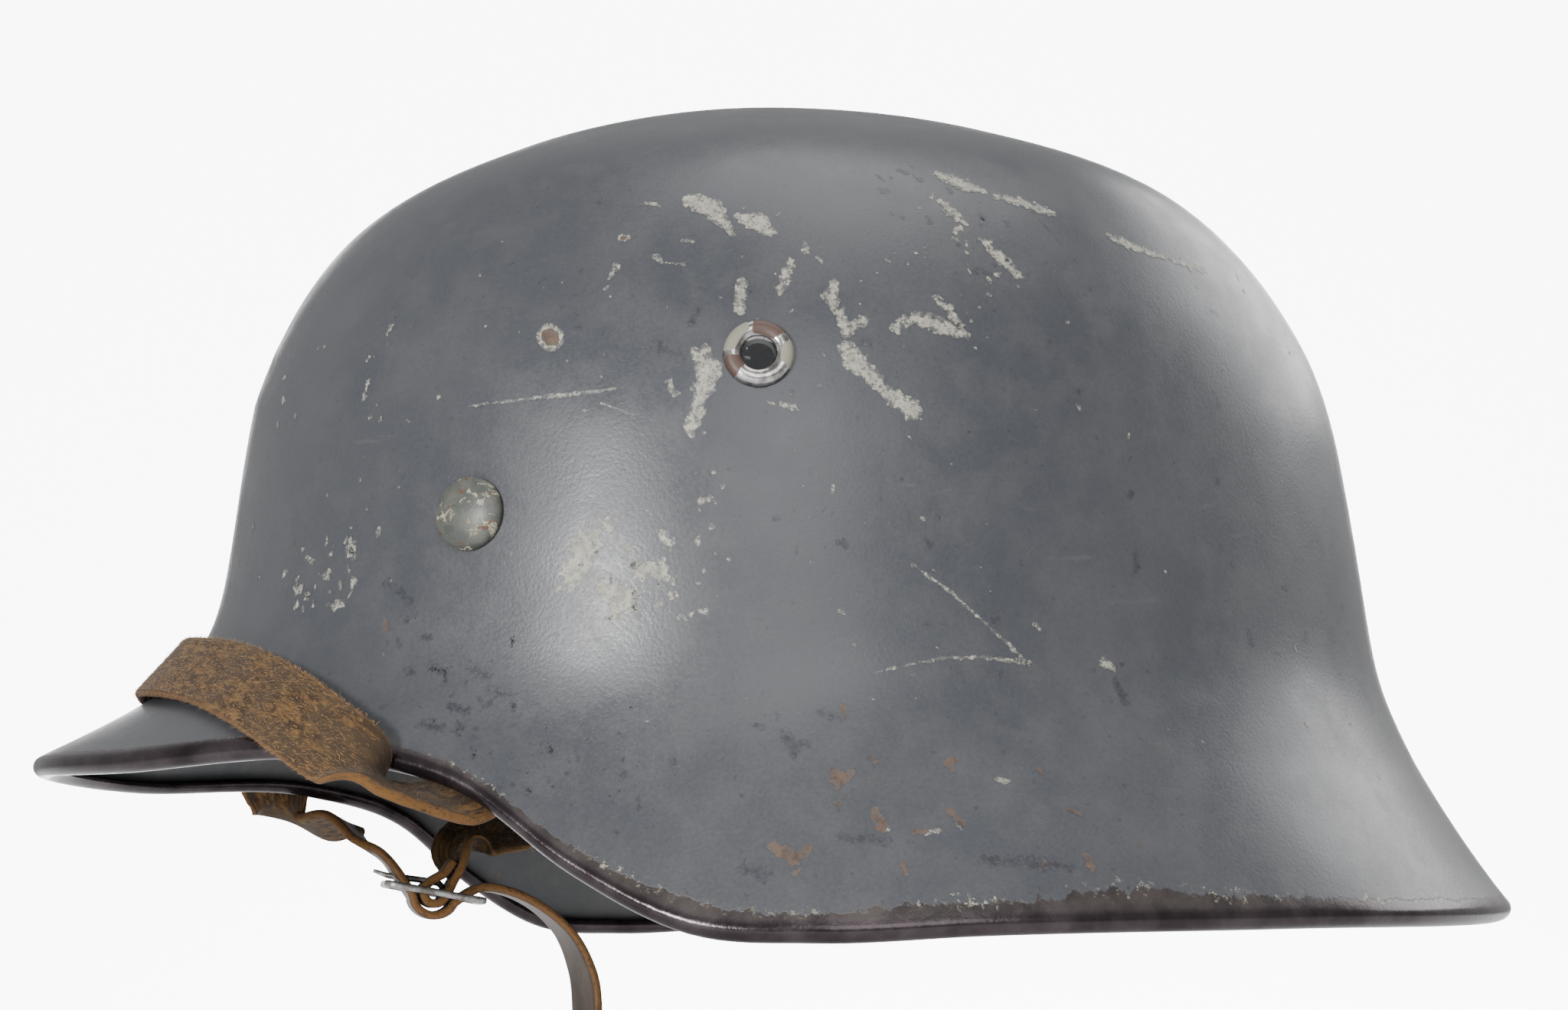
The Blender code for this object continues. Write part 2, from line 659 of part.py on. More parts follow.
def build_straps(parts, cutters, frames, leather):
    """The two leather straps, folded round the hangers and the buckle."""
    across, along, up = buckle_axes()
    bar, ahead, side_across = frames[1]
    places = fold(bar, ahead, side_across, hanger_reach())
    acrosses = [side_across] * len(places)
    for azimuth, out, rise, a, b, c in LONG_STRAP:
        end = flare_curve(azimuth)[3]
        flat = Vector((end.x + out * STRAP_WIDTH, end.y + rise * STRAP_WIDTH))
        places.append(in_space(azimuth, flat))
        radial = outward(azimuth)
        forward = Vector((0, 0, 1)).cross(radial) * (-1 if azimuth > 0 else 1)
        acrosses.append(radial * a + forward * b + Vector((0, 0, c)))
    for x, b, c, *way in LONG_STRAP_IN:
        places.append(from_buckle(x * STRAP_WIDTH, b * STRAP_WIDTH, c * STRAP_WIDTH))
        acrosses.append(across * way[0] + along * way[1] + up * way[2])
    under = bar_reach() + 3 * GAP + 1.5 * STRAP_THICKNESS
    for angle in UNDER_TURNS:
        turn = math.radians(angle)
        places.append(from_buckle(0.0, under * math.cos(turn), under * math.sin(turn)))
        acrosses.append(across)
    over = BUCKLE_THICKNESS / 2 + GAP + STRAP_THICKNESS
    places.append(from_buckle(0.0, (BUCKLE_LENGTH - BUCKLE_BAR) / 2, over))
    acrosses.append(across)
    for x, b, c, *way in TAIL:
        places.append(from_buckle(x * STRAP_WIDTH, b * STRAP_WIDTH, c * STRAP_WIDTH))
        acrosses.append(across * way[0] + along * way[1] + up * way[2])
    widths = [STRAP_WIDTH] * len(places)
    long_strap = strip("chin_strap_long", places, acrosses, widths, STRAP_THICKNESS,
                       STRAP_STEPS_LONG, parts, leather)

    lift = math.radians(FOLD_LIFT)
    leg = along * math.cos(lift) + up * math.sin(lift)
    places = fold(buckle_middle(), leg, across, bar_reach())
    acrosses = [across] * len(places)
    for x, b, c, *way in SHORT_STRAP:
        places.append(from_buckle(x * STRAP_WIDTH, b * STRAP_WIDTH, c * STRAP_WIDTH))
        acrosses.append(across * way[0] + along * way[1] + up * way[2])
    bar, ahead, side_across = frames[-1]
    far = fold(bar, ahead, side_across, hanger_reach())
    places += reversed(far)
    acrosses += [side_across] * len(far)
    widths = [STRAP_WIDTH] * len(places)
    short_strap = strip("chin_strap_short", places, acrosses, widths, STRAP_THICKNESS,
                        STRAP_STEPS_SHORT, parts, leather)

    slot_width = 2 * (PRONG_RADIUS + GAP)
    fold_reach = bar_reach() + GAP + STRAP_THICKNESS + GAP
    box = cutter_box("fold_slot", (slot_width, 2 * fold_reach, 2 * fold_reach), buckle_middle(),
                     (across, along, up), cutters)
    cut(short_strap, box)
    rest = BUCKLE_THICKNESS / 2 + GAP + PRONG_RADIUS
    box = cutter_box("prong_slot", (slot_width, BUCKLE_LENGTH / 2, slot_width + GAP),
                     from_buckle(0.0, -BUCKLE_LENGTH / 4, rest + GAP), (across, along, up), cutters)
    cut(long_strap, box)


def main():
    for part in list(bpy.data.objects):
        bpy.data.objects.remove(part, do_unlink=True)
    parts = bpy.data.collections.new("steel_helmet")
    cutters = bpy.data.collections.new("cutters")
    bpy.context.scene.collection.children.link(parts)
    bpy.context.scene.collection.children.link(cutters)
    paint = new_material("worn_paint", (0.10, 0.115, 0.13), 0.45)
    rivet_paint = new_material("rivet_paint", (0.12, 0.125, 0.11), 0.5)
    steel = new_material("bare_steel", (0.45, 0.44, 0.43), 0.35, 1.0)
    leather = new_material("brown_leather", (0.16, 0.09, 0.045), 0.8)
    build_shell(parts, cutters, paint)
    build_vents(parts, steel)
    build_rivets(parts, rivet_paint)
    frames = build_hangers(parts, cutters, steel)
    build_buckle(parts, steel)
    build_straps(parts, cutters, frames, leather)


main()
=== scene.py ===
"""Looks of a worn steel helmet with a rough leather chin strap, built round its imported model."""
import math
import random

import bmesh
import bpy
import numpy as np
from mathutils import Matrix, Vector, noise
from mathutils.bvhtree import BVHTree


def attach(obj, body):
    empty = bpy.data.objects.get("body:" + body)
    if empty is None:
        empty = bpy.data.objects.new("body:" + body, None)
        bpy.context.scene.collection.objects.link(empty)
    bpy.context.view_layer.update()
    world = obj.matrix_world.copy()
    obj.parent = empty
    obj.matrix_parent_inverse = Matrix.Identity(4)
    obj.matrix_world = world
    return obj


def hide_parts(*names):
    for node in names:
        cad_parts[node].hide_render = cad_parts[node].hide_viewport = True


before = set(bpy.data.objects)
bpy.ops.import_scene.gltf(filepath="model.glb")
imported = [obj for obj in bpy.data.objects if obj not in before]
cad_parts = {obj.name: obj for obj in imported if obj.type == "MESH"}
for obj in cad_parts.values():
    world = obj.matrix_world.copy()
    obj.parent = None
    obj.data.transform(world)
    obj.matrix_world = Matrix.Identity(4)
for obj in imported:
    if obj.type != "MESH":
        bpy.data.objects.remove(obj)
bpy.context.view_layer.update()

MM = 0.001

# Sizes shared with the model
CROWN_HEIGHT = 162.4 * MM
NECK_HEIGHT = 46.8 * MM
NECK_FRONT = 103.2 * MM
NECK_REAR = 119.6 * MM
NECK_HALF_WIDTH = 97.2 * MM
VISOR_REACH = 36.5 * MM
VISOR_HEIGHT = 40.7 * MM
SKIRT_FLARE = 24.8 * MM
SHEET = 1.15 * MM
ROLL_RADIUS = 2.0 * MM
ROLL_TURN = 240.0
GAP = 0.3 * MM
RIVET_AZIMUTH = 50.3
RIVET_HEIGHT = 74.8 * MM
RIVET_HEAD_RADIUS = 6.3 * MM
RIVET_HEAD_HEIGHT = 2.9 * MM
CLENCH_RADIUS = 4.0 * MM
VENT_AZIMUTH = 80.4
VENT_HEIGHT = 97.9 * MM
VENT_FLANGE_RADIUS = 5.9 * MM
VENT_FLANGE_HEIGHT = 1.7 * MM
VENT_HOLE_RADIUS = 2.8 * MM
VENT_WALL = 0.8 * MM
VENT_CRIMP_RADIUS = 5.0 * MM
HANGER_SHEET = 1.2 * MM
HANGER_BAR = 2.0 * MM
STRAP_WIDTH = 13.8 * MM
STRAP_THICKNESS = 1.8 * MM
BUCKLE_PLACE = Vector((-60.0, -61.8, 12.9)) * MM
BUCKLE_PITCH = 13.4
BUCKLE_LENGTH = 21.6 * MM
BUCKLE_BAR = 1.8 * MM
BUCKLE_THICKNESS = 1.5 * MM
PRONG_RADIUS = 0.7 * MM
FOLD_LENGTH = 7.5 * MM
FOLD_LIFT = 72.0
BUCKLE_WIDTH = 20.5 * MM
FACET_DEPTH = 0.3 * MM

# Turns of a strap's middle line round a bar, in degrees
FOLD_TURNS = (-90, -126, -162, 162, 126, 90)
UNDER_TURNS = (195, 220, 245, 270, 295, 320, 345)
PRONG_TURNS = (205, 235, 265, 295, 325, 355, 25, 55, 80)

# Dome profile: polar angle at the neck's centre, and reach as a share of the plain ellipse
DOME = (
    (0.0, 1.000),
    (15.0, 1.001),
    (30.0, 1.038),
    (45.0, 1.089),
    (60.0, 1.073),
    (75.0, 1.022),
    (90.0, 1.000),
)

# Brim round the shell: azimuth, overhang as shares of VISOR_REACH and SKIRT_FLARE, rim height
# as a share of VISOR_HEIGHT, lean of the edge from upright in degrees, polar angle where the
# flare leaves the dome, and the pull of the upper end of its curve
BRIM = (
    (0.0, 1.00, 0.00, 1.000, 66.0, 79.0, 0.30),
    (20.0, 0.79, 0.00, 0.950, 62.0, 80.0, 0.28),
    (40.0, 0.41, 0.00, 0.905, 50.0, 83.0, 0.22),
    (52.0, 0.15, 0.22, 0.720, 38.0, 86.0, 0.17),
    (62.0, 0.04, 0.44, 0.370, 30.0, 89.0, 0.14),
    (72.0, 0.00, 0.63, 0.117, 25.0, 90.0, 0.13),
    (82.0, 0.00, 0.74, 0.057, 25.0, 90.0, 0.13),
    (95.0, 0.00, 0.86, 0.048, 25.0, 90.0, 0.13),
    (120.0, 0.00, 1.00, 0.003, 27.0, 90.0, 0.13),
    (150.0, 0.00, 0.97, -0.044, 36.0, 90.0, 0.13),
    (180.0, 0.00, 0.89, -0.020, 34.0, 90.0, 0.13),
)
LOWER_PULL = 0.35

# Hanger: azimuth, height as a share of RIVET_HEIGHT, and extra depth in from the shell as a
# share of STRAP_THICKNESS
HANGER = (
    (47.6, 1.039, 0.00),
    (50.3, 0.995, 0.00),
    (58.0, 0.901, 0.05),
    (65.0, 0.782, 0.25),
    (69.5, 0.676, 0.60),
    (70.0, 0.582, 1.10),
    (68.0, 0.507, 1.60),
)

# Long strap outside the shell, from the left hanger round the front to the right of the visor:
# azimuth, how far the middle lies out from the end of the flare and how high above it, both as
# shares of STRAP_WIDTH, and the direction of the width as shares outward, frontward and up
LONG_STRAP = (
    (61.5, -0.88, 1.06, 0.00, 0.45, 0.85),
    (56.5, -0.80, 0.64, 0.00, 0.62, 0.74),
    (52.8, -0.60, 0.12, 0.00, 0.74, 0.66),
    (50.5, -0.26, -0.34, 0.03, 0.86, 0.48),
    (48.7, 0.12, -0.45, 0.00, 0.92, 0.38),
    (47.0, 0.51, -0.34, -0.10, 0.82, 0.52),
    (44.8, 0.53, -0.11, -0.44, 0.36, 0.74),
    (41.4, 0.36, 0.07, -0.55, 0.05, 0.78),
    (35.8, -0.01, 0.36, -0.55, 0.00, 0.80),
    (29.3, -0.54, 0.67, -0.62, 0.00, 0.75),
    (21.0, -1.11, 0.97, -0.68, 0.00, 0.72),
    (10.0, -1.51, 1.09, -0.69, 0.00, 0.72),
    (0.0, -1.65, 1.12, -0.69, 0.00, 0.72),
    (-10.0, -1.51, 1.09, -0.69, 0.00, 0.72),
    (-21.0, -1.12, 0.95, -0.68, 0.00, 0.72),
    (-29.3, -0.53, 0.64, -0.62, 0.00, 0.75),
    (-34.6, 0.02, 0.31, -0.56, 0.05, 0.78),
    (-38.4, 0.40, -0.01, -0.44, 0.24, 0.82),
    (-41.0, 0.57, -0.27, -0.24, 0.56, 0.74),
    (-42.8, 0.34, -0.60, 0.00, 0.90, 0.42),
)

# Long strap from the rim to the buckle, and its tail, as places from the buckle's middle along
# X, along the buckle and up from it, in shares of STRAP_WIDTH, and the width's direction
LONG_STRAP_IN = (
    (-0.65, -1.54, 0.80, 0.88, -0.45, 0.10),
    (-0.43, -1.23, 0.57, 0.97, -0.20, 0.00),
    (-0.16, -0.80, 0.36, 1.00, 0.00, 0.00),
)
TAIL = (
    (0.00, 1.40, 0.15, 1.00, 0.04, 0.00),
    (0.00, 2.07, -0.22, 0.98, 0.16, 0.00),
    (0.00, 2.49, -0.80, 0.96, 0.25, 0.00),
    (0.00, 2.67, -1.38, 0.96, 0.26, 0.00),
    (0.00, 2.72, -1.80, 0.96, 0.26, 0.00),
)

# Short strap between the buckle and the right hanger: the same columns as the tail
SHORT_STRAP = (
    (-0.30, 0.32, 0.76, 0.85, 0.34, -0.40),
    (-0.70, 0.62, 1.02, 0.72, 0.45, -0.52),
    (-1.20, 1.06, 1.26, 0.50, 0.62, -0.58),
)


def cubic(low, high, low_slope, high_slope, span, u):
    """Value at a share of the way between two stations, from the values and slopes at both."""
    blend = 3 * u ** 2 - 2 * u ** 3
    value = low * (1 - blend) + high * blend
    value += span * low_slope * (u - 2 * u ** 2 + u ** 3)
    return value + span * high_slope * (u ** 3 - u ** 2)


def smooth(table, column, at):
    """Read a column of a table at a station, on a smooth curve that is level at both ends."""
    stations = [row[0] for row in table]
    values = [row[column] for row in table]
    slopes = [0.0] * len(table)
    for i in range(1, len(table) - 1):
        before = (values[i] - values[i - 1]) / (stations[i] - stations[i - 1])
        after = (values[i + 1] - values[i]) / (stations[i + 1] - stations[i])
        left = stations[i + 1] - stations[i]
        right = stations[i] - stations[i - 1]
        slopes[i] = (before * left + after * right) / (left + right)
    at = min(max(at, stations[0]), stations[-1])
    k = max(i for i in range(len(table) - 1) if stations[i] <= at)
    span = stations[k + 1] - stations[k]
    return cubic(*values[k:k + 2], *slopes[k:k + 2], span, (at - stations[k]) / span)


def outward(azimuth):
    """Level direction that points out of the helmet at an azimuth."""
    turn = math.radians(azimuth)
    return Vector((math.sin(turn), -math.cos(turn), 0.0))


def side_of(azimuth):
    """Azimuth folded onto one half, from 0 at the front to 180 at the back."""
    return abs((azimuth + 180.0) % 360.0 - 180.0)


def neck_radius(azimuth):
    """Reach of the neck from the middle: two half ellipses."""
    turn = math.radians(azimuth)
    length = NECK_FRONT if math.cos(turn) > 0 else NECK_REAR
    return 1.0 / math.hypot(math.cos(turn) / length, math.sin(turn) / NECK_HALF_WIDTH)


def dome_point(azimuth, polar):
    """Reach and height of the dome at a polar angle."""
    share = smooth(DOME, 1, polar)
    reach = neck_radius(azimuth) * share * math.sin(math.radians(polar))
    height = (CROWN_HEIGHT - NECK_HEIGHT) * share * math.cos(math.radians(polar))
    return Vector((reach, NECK_HEIGHT + height))


def flare_curve(azimuth):
    """Four control points of the flare's curve, as reach and height."""
    side = side_of(azimuth)
    overhang = VISOR_REACH * smooth(BRIM, 1, side) + SKIRT_FLARE * smooth(BRIM, 2, side)
    lean = math.radians(smooth(BRIM, 4, side))
    leave = smooth(BRIM, 5, side)
    edge = Vector((math.sin(lean), -math.cos(lean)))
    start = dome_point(azimuth, leave)
    down = (start - dome_point(azimuth, leave - 2.0)).normalized()
    end = Vector((neck_radius(azimuth) + overhang, VISOR_HEIGHT * smooth(BRIM, 3, side)))
    end -= edge * ROLL_RADIUS
    chord = (end - start).length
    upper = start + down * chord * smooth(BRIM, 6, side)
    lower = end - edge * chord * LOWER_PULL
    return start, upper, lower, end, edge


def flare_point(azimuth, u):
    """Reach and height on the flare, u from 0 where it leaves the dome to 1 at the roll."""
    start, upper, lower, end, edge = flare_curve(azimuth)
    v = 1.0 - u
    return v ** 3 * start + 3 * v * v * u * upper + 3 * v * u * u * lower + u ** 3 * end


def in_space(azimuth, flat):
    """Point in the helmet's frame for a reach and a height above the side rim."""
    return outward(azimuth) * flat.x + Vector((0, 0, flat.y - CROWN_HEIGHT + SHEET))


def skin_point(azimuth, height):
    """Point of the outer face at an azimuth and a height above the side rim."""
    low, high = 0.0, 2.0
    leave = smooth(BRIM, 5, side_of(azimuth))

    def along(s):
        if s < 1.0:
            return dome_point(azimuth, leave * s)
        return flare_point(azimuth, s - 1.0)

    for _ in range(40):
        middle = (low + high) / 2
        if along(middle).y > height:
            low = middle
        else:
            high = middle
    return in_space(azimuth, along(low))


def skin_frame(azimuth, height):
    """Point of the outer face, its outward normal and the downhill direction."""
    step = 0.5 * MM
    point = skin_point(azimuth, height)
    downhill = skin_point(azimuth, height - step) - skin_point(azimuth, height + step)
    sideways = skin_point(azimuth + 0.5, height) - skin_point(azimuth - 0.5, height)
    downhill.normalize()
    normal = downhill.cross(sideways.normalized()).normalized()
    return point, normal, downhill


def roll_points(azimuth, steps):
    """The rolled rim, turning from the outer face down and inwards."""
    start, upper, lower, end, edge = flare_curve(azimuth)
    out = Vector((-edge.y, edge.x))
    centre = end - out * ROLL_RADIUS
    points = []
    for i in range(1, steps + 1):
        turn = math.radians(ROLL_TURN * i / steps)
        spoke = out * math.cos(turn) + edge * math.sin(turn)
        points.append(centre + spoke * ROLL_RADIUS)
    return points


def curve_through(points, count):
    """Even points on a smooth curve through a few places, and their shares of its length."""
    knots = [0.0]
    for a, b in zip(points, points[1:]):
        knots.append(knots[-1] + (b - a).length)
    total = knots[-1]
    tables = [[(knots[i], p[axis]) for i, p in enumerate(points)] for axis in range(3)]
    out = []
    for i in range(count + 1):
        s = total * i / count
        out.append(Vector(open_smooth(table, s) for table in tables))
    return out, knots, total


def open_smooth(table, at):
    """Read a two-column table at a station, on a smooth curve with free ends."""
    last = len(table) - 1
    slopes = []
    for i in range(last + 1):
        low = max(i - 1, 0)
        high = min(i + 1, last)
        slopes.append((table[high][1] - table[low][1]) / (table[high][0] - table[low][0]))
    k = max([i for i in range(last) if table[i][0] <= at] or [0])
    span = table[k + 1][0] - table[k][0]
    return cubic(table[k][1], table[k + 1][1], *slopes[k:k + 2], span, (at - table[k][0]) / span)


def hanger_frames(side):
    """Places and width directions of a hanger."""
    places, acrosses = [], []
    for azimuth, share, extra in HANGER:
        point, normal, downhill = skin_frame(side * azimuth, share * RIVET_HEIGHT)
        depth = SHEET + GAP + FACET_DEPTH + HANGER_SHEET / 2 + extra * STRAP_THICKNESS
        places.append(point - normal * depth)
    for i in range(len(places)):
        ahead = places[min(i + 1, len(places) - 1)] - places[max(i - 1, 0)]
        point, normal, downhill = skin_frame(side * HANGER[i][0], HANGER[i][1] * RIVET_HEIGHT)
        acrosses.append(ahead.cross(normal).normalized())
    return places, acrosses


def fold(bar, ahead, across, bar_radius):
    """Middle line of a strap's end folded round a bar, from its short leg to its long one."""
    off = ahead.cross(across).normalized()
    radius = bar_radius + GAP + STRAP_THICKNESS / 2
    close = radius - STRAP_THICKNESS - GAP
    flat = [(FOLD_LENGTH, close),
            (0.6 * FOLD_LENGTH, close - 0.15 * radius),
            (0.3 * FOLD_LENGTH, -0.6 * radius)]
    for turn in FOLD_TURNS:
        flat.append((radius * math.cos(math.radians(turn)), radius * math.sin(math.radians(turn))))
    flat += [(0.4 * FOLD_LENGTH, radius), (0.9 * FOLD_LENGTH, radius)]
    return [bar + ahead * a + off * b for a, b in flat]


def buckle_axes():
    """The buckle's own directions: across the strap, along it and up from the frame."""
    pitch = math.radians(BUCKLE_PITCH)
    along = Vector((0.0, math.cos(pitch), -math.sin(pitch)))
    up = Vector((0.0, math.sin(pitch), math.cos(pitch)))
    return Vector((1.0, 0.0, 0.0)), along, up


def buckle_middle():
    """Middle of the buckle in the helmet's frame."""
    return BUCKLE_PLACE - Vector((0, 0, CROWN_HEIGHT - SHEET))


def from_buckle(a, b, c):
    """Place at distances from the buckle's middle along its own directions."""
    across, along, up = buckle_axes()
    return buckle_middle() + across * a + along * b + up * c


def bar_reach():
    """Greatest reach of a bar of the buckle from its own middle line."""
    return math.hypot(BUCKLE_BAR, BUCKLE_THICKNESS) / 2


def hanger_reach():
    """Greatest reach of the hanger's lower bar from its own middle line."""
    return math.hypot(HANGER_BAR, HANGER_SHEET) / 2


# Counts of faces
AROUND = 320
DOME_ROWS = 62
FLARE_ROWS = 28
ROLL_ROWS = 14
RIVET_SIDES = 64
RIVET_ARC = 18
VENT_SIDES = 72
VENT_ARC = 16
STRAP_COLUMNS = 14
LONG_STRAP_STEPS = 520
SHORT_STRAP_STEPS = 160
PRONG_STEPS = 60
PRONG_SIDES = 14
BAR_SIDES = 16
FLOOR_SIDES = 48

# Rows above and below the end of the dome whose turn is evened out, how often and how far
EASE_ABOVE = 15
EASE_BELOW = 13
EASE_TIMES = 60
EASE_FADE = 5

# Dents in the sheet: how many to a metre, and their depth
DENTS = ((28.0, 0.22 * MM), (75.0, 0.05 * MM))
BEAD_FADE = 1.2 * MM

# Grid of a mark in mm: the finest in view and on the far side, the coarsest, and its share of
# the mark's half width
FINE_NEAR = 0.12
FINE_FAR = 0.22
FINE_MOST = 0.45
FINE_SHARE = 0.22

# How far marks lie proud of the paint, and how much more each kind does
MARK_LIFT = 0.030 * MM
KIND_LIFT = 0.012 * MM

# Straps: rounding of the edges, where the fibres start and end along the strap, how far the
# outer face is rough too, and fibres to a millimetre
STRAP_CORNER = 0.55 * MM
LONG_STRAP_ROUGH = (0.030, 0.215, 0.290)
SHORT_STRAP_ROUGH = (0.012, 0.066, 0.080)
FIBRES = 90

# How far bare steel and speckled primer reach up from the rolled rim: azimuth and millimetres
RIM_WEAR = (
    (0.0, 1.0),
    (35.0, 1.2),
    (52.0, 2.2),
    (62.0, 3.0),
    (72.0, 4.6),
    (80.0, 3.0),
    (88.0, 4.4),
    (97.0, 4.2),
    (106.0, 6.8),
    (113.0, 5.4),
    (122.0, 3.6),
    (145.0, 2.8),
    (180.0, 3.2),
)

# What shows in a mark: material, its dark and light colours, roughness and share of paint left
MARK_KINDS = {
    "dark": ("scuffed_paint", (0.016, 0.017, 0.022), (0.030, 0.032, 0.040), 0.38, 0.7),
    "primer": ("bare_primer", (0.19, 0.186, 0.150), (0.34, 0.33, 0.265), 0.60, 0.95),
    "rust": ("rust_stain", (0.040, 0.024, 0.015), (0.100, 0.062, 0.040), 0.70, 0.6),
}

# Marks on the wearer's left, by what shows in them: ragged edge in mm, then azimuth, height in
# mm above the side rim and half width in mm along the mark
MARKS = (
    ("primer", (0.7, (73.6, 127.4, 1.8), (76, 125.4, 2.2), (78.4, 120, 0.5)),
     (0.8, (79.2, 123.6, 1), (81, 122.4, 2.2), (82.8, 120.2, 1)),
     (0.5, (79.1, 111, 0.9), (78.7, 106, 1.1)),
     (0.8, (84.6, 114.2, 0.7), (83.8, 111.5, 1.1), (83, 109, 0.6)),
     (0.8, (88.9, 110, 0.8), (88.4, 107.6, 1.5), (88.8, 105.4, 0.7)),
     (0.9, (89.2, 104.6, 1), (89.6, 101.4, 1.1), (91.6, 103.2, 0.7)),
     (1, (94.9, 101.8, 0.9), (97, 103.8, 0.9), (99.6, 102.4, 1.7), (102.4, 100.9, 1)),
     (1, (99.8, 107.4, 0.5), (101.4, 105, 1), (102, 102.4, 0.7)),
     (1, (74.6, 98.4, 1.4), (75.2, 95.4, 2.3), (74.6, 92, 1.6), (73.2, 85.2, 0.9)),
     (0.8, (89.5, 98.2, 1.5), (90.4, 95.4, 2), (92.8, 91.4, 1.1), (95.6, 87.4, 1.9)),
     (0.9, (106.2, 132.2, 1.3), (108.6, 130.4, 2), (111, 129, 0.7)),
     (0.9, (112, 128.4, 0.6), (115, 127.4, 1.5), (119, 125.6, 1)),
     (0.9, (126, 121.8, 0.9), (129.4, 119.8, 1.1), (133, 118.8, 0.7)),
     (0.9, (134, 118.6, 0.6), (137, 118, 0.9), (140, 117.2, 0.5)),
     (1, (104.6, 125.6, 1.4), (106.2, 122, 0.6), (105, 120.4, 0.6)),
     (1, (107.8, 118.6, 0.8), (109.4, 115, 1.4), (110.4, 112.4, 1)),
     (0.3, (58.4, 104.2, 2.3), (58.8, 103.4, 2.3))),
    ("rust", (0.3, (58.4, 104.1, 1.4), (58.8, 103.5, 1.4))),
    ("primer",
     (0.3, (49.8, 93.5, 0.15), (55.6, 93.3, 0.25), (60, 93.3, 0.45), (66.6, 93.5, 0.10)),
     (0.2, (64.4, 91.2, 0.20), (67.6, 88.8, 0.15)),
     (0.4, (94.4, 61.4, 0.20), (98, 56.6, 0.35), (101.4, 51, 0.30), (105.2, 44.2, 0.40)),
     (0.4, (105.2, 44.2, 0.45), (101, 45.4, 0.30), (96.5, 45.6, 0.30), (89, 43.4, 0.10)),
     (2.4, (64.2, 70.6, 1.2), (62.2, 66.6, 2.6), (61, 62.6, 2)),
     (2, (63.8, 60.4, 1.4), (66, 58.4, 2.6), (65.2, 56.2, 1)),
     (1.6, (67.6, 63, 1.4), (69.6, 62.2, 1.9), (70.6, 61.2, 0.8)),
     (1, (70, 68.6, 0.7), (70.8, 66.6, 0.7)),
     (0.5, (65.2, 115.6, 0.7), (64.8, 113.8, 0.6)),
     (0.3, (65.6, 121, 0.8), (66.2, 121, 0.8))),
    ("rust", (0.2, (65.8, 121, 0.4), (66, 121, 0.4))),
    ("primer", (0.5, (67.4, 127.6, 0.3), (69.6, 127, 0.5)),
     (0.4, (72.6, 119.4, 0.4), (73.8, 119.2, 0.5)),
     (0.5, (69.6, 116.8, 0.5), (70.4, 115.6, 0.3)),
     (0.4, (71, 115.4, 0.3), (72.8, 115, 0.4)),
     (0.5, (86.4, 118, 0.5), (86.4, 116.2, 0.6)),
     (0.6, (35.8, 101.2, 0.6), (35.4, 98.2, 0.4)),
     (0.4, (113.2, 43.8, 1), (114, 43, 0.8)),
     (0.4, (99, 25.2, 0.7), (99.8, 25, 0.5)),
     (0.3, (106.4, 50.8, 0.5), (106.8, 50.2, 0.5)),
     (0.6, (80.8, 89.4, 0.3), (83.6, 88.4, 0.5)),
     (0.6, (71.2, 94, 0.5), (71.8, 91.8, 0.7))),
    ("rust", (0.8, (84.8, 28, 0.6), (85.2, 26.6, 1.4), (86.2, 27.4, 0.8)),
     (0.6, (87.8, 21.4, 0.8), (88.3, 18.8, 1))),
    ("primer", (0.5, (88, 20.8, 0.3), (88.6, 18.4, 0.5))),
    ("rust", (0.6, (94.2, 20.6, 0.7), (94.8, 18.6, 0.7))),
    ("primer", (0.4, (94.6, 18.6, 0.4), (94.7, 17.6, 0.3))),
    ("rust", (0.4, (90.8, 17.6, 0.5), (91.8, 17.6, 0.5))),
    ("primer", (0.4, (91.8, 17.5, 0.5), (92.8, 17.6, 0.4))),
    ("rust", (0.8, (79.2, 16.6, 0.9), (80.8, 14.6, 1.3), (82.2, 16.2, 0.5)),
     (0.4, (86.3, 38.4, 0.5), (86.4, 37.2, 0.4)),
     (0.4, (40.6, 57.6, 0.7), (40.8, 56.8, 0.6)),
     (0.8, (104.4, 12.6, 0.6), (104.6, 10.8, 0.9))),
    ("dark", (0.5, (70.2, 101, 1), (71, 99.2, 0.8), (72.6, 98.6, 1.1)),
     (0.4, (91.2, 99.4, 0.9), (91.8, 99.2, 0.7)),
     (0.8, (42, 63, 1), (43.4, 61.6, 0.9)),
     (0.9, (46.2, 50, 0.6), (48, 48.6, 0.9)),
     (0.9, (50.4, 49, 0.8), (52.2, 47.4, 1)),
     (0.9, (52.8, 44.8, 0.9), (54.6, 43.8, 0.8)),
     (0.9, (49.2, 42.6, 0.7), (50.8, 41.6, 1)),
     (0.9, (80.8, 34.2, 1), (81.4, 32, 1.3), (83, 33, 0.7)),
     (0.8, (84, 37.8, 0.6), (86, 36.4, 0.5)),
     (0.9, (85, 17.4, 0.9), (88.4, 16.6, 0.7)),
     (0.5, (118.8, 64, 0.5), (118.6, 60, 0.8)),
     (0.5, (113.8, 40.6, 0.6), (114.2, 37.4, 0.9)),
     (0.4, (132.6, 93, 0.3), (133, 90, 0.4)),
     (0.9, (96, 12.6, 1), (101, 11.4, 1.4), (103, 10.8, 0.8)),
     (0.9, (76.6, 13.6, 0.8), (78.2, 12.2, 1.1)),
     (0.4, (79, 116, 0.15), (77.8, 108.6, 0.25)),
     (0.3, (116, 126, 0.15), (118, 119, 0.20))),
)

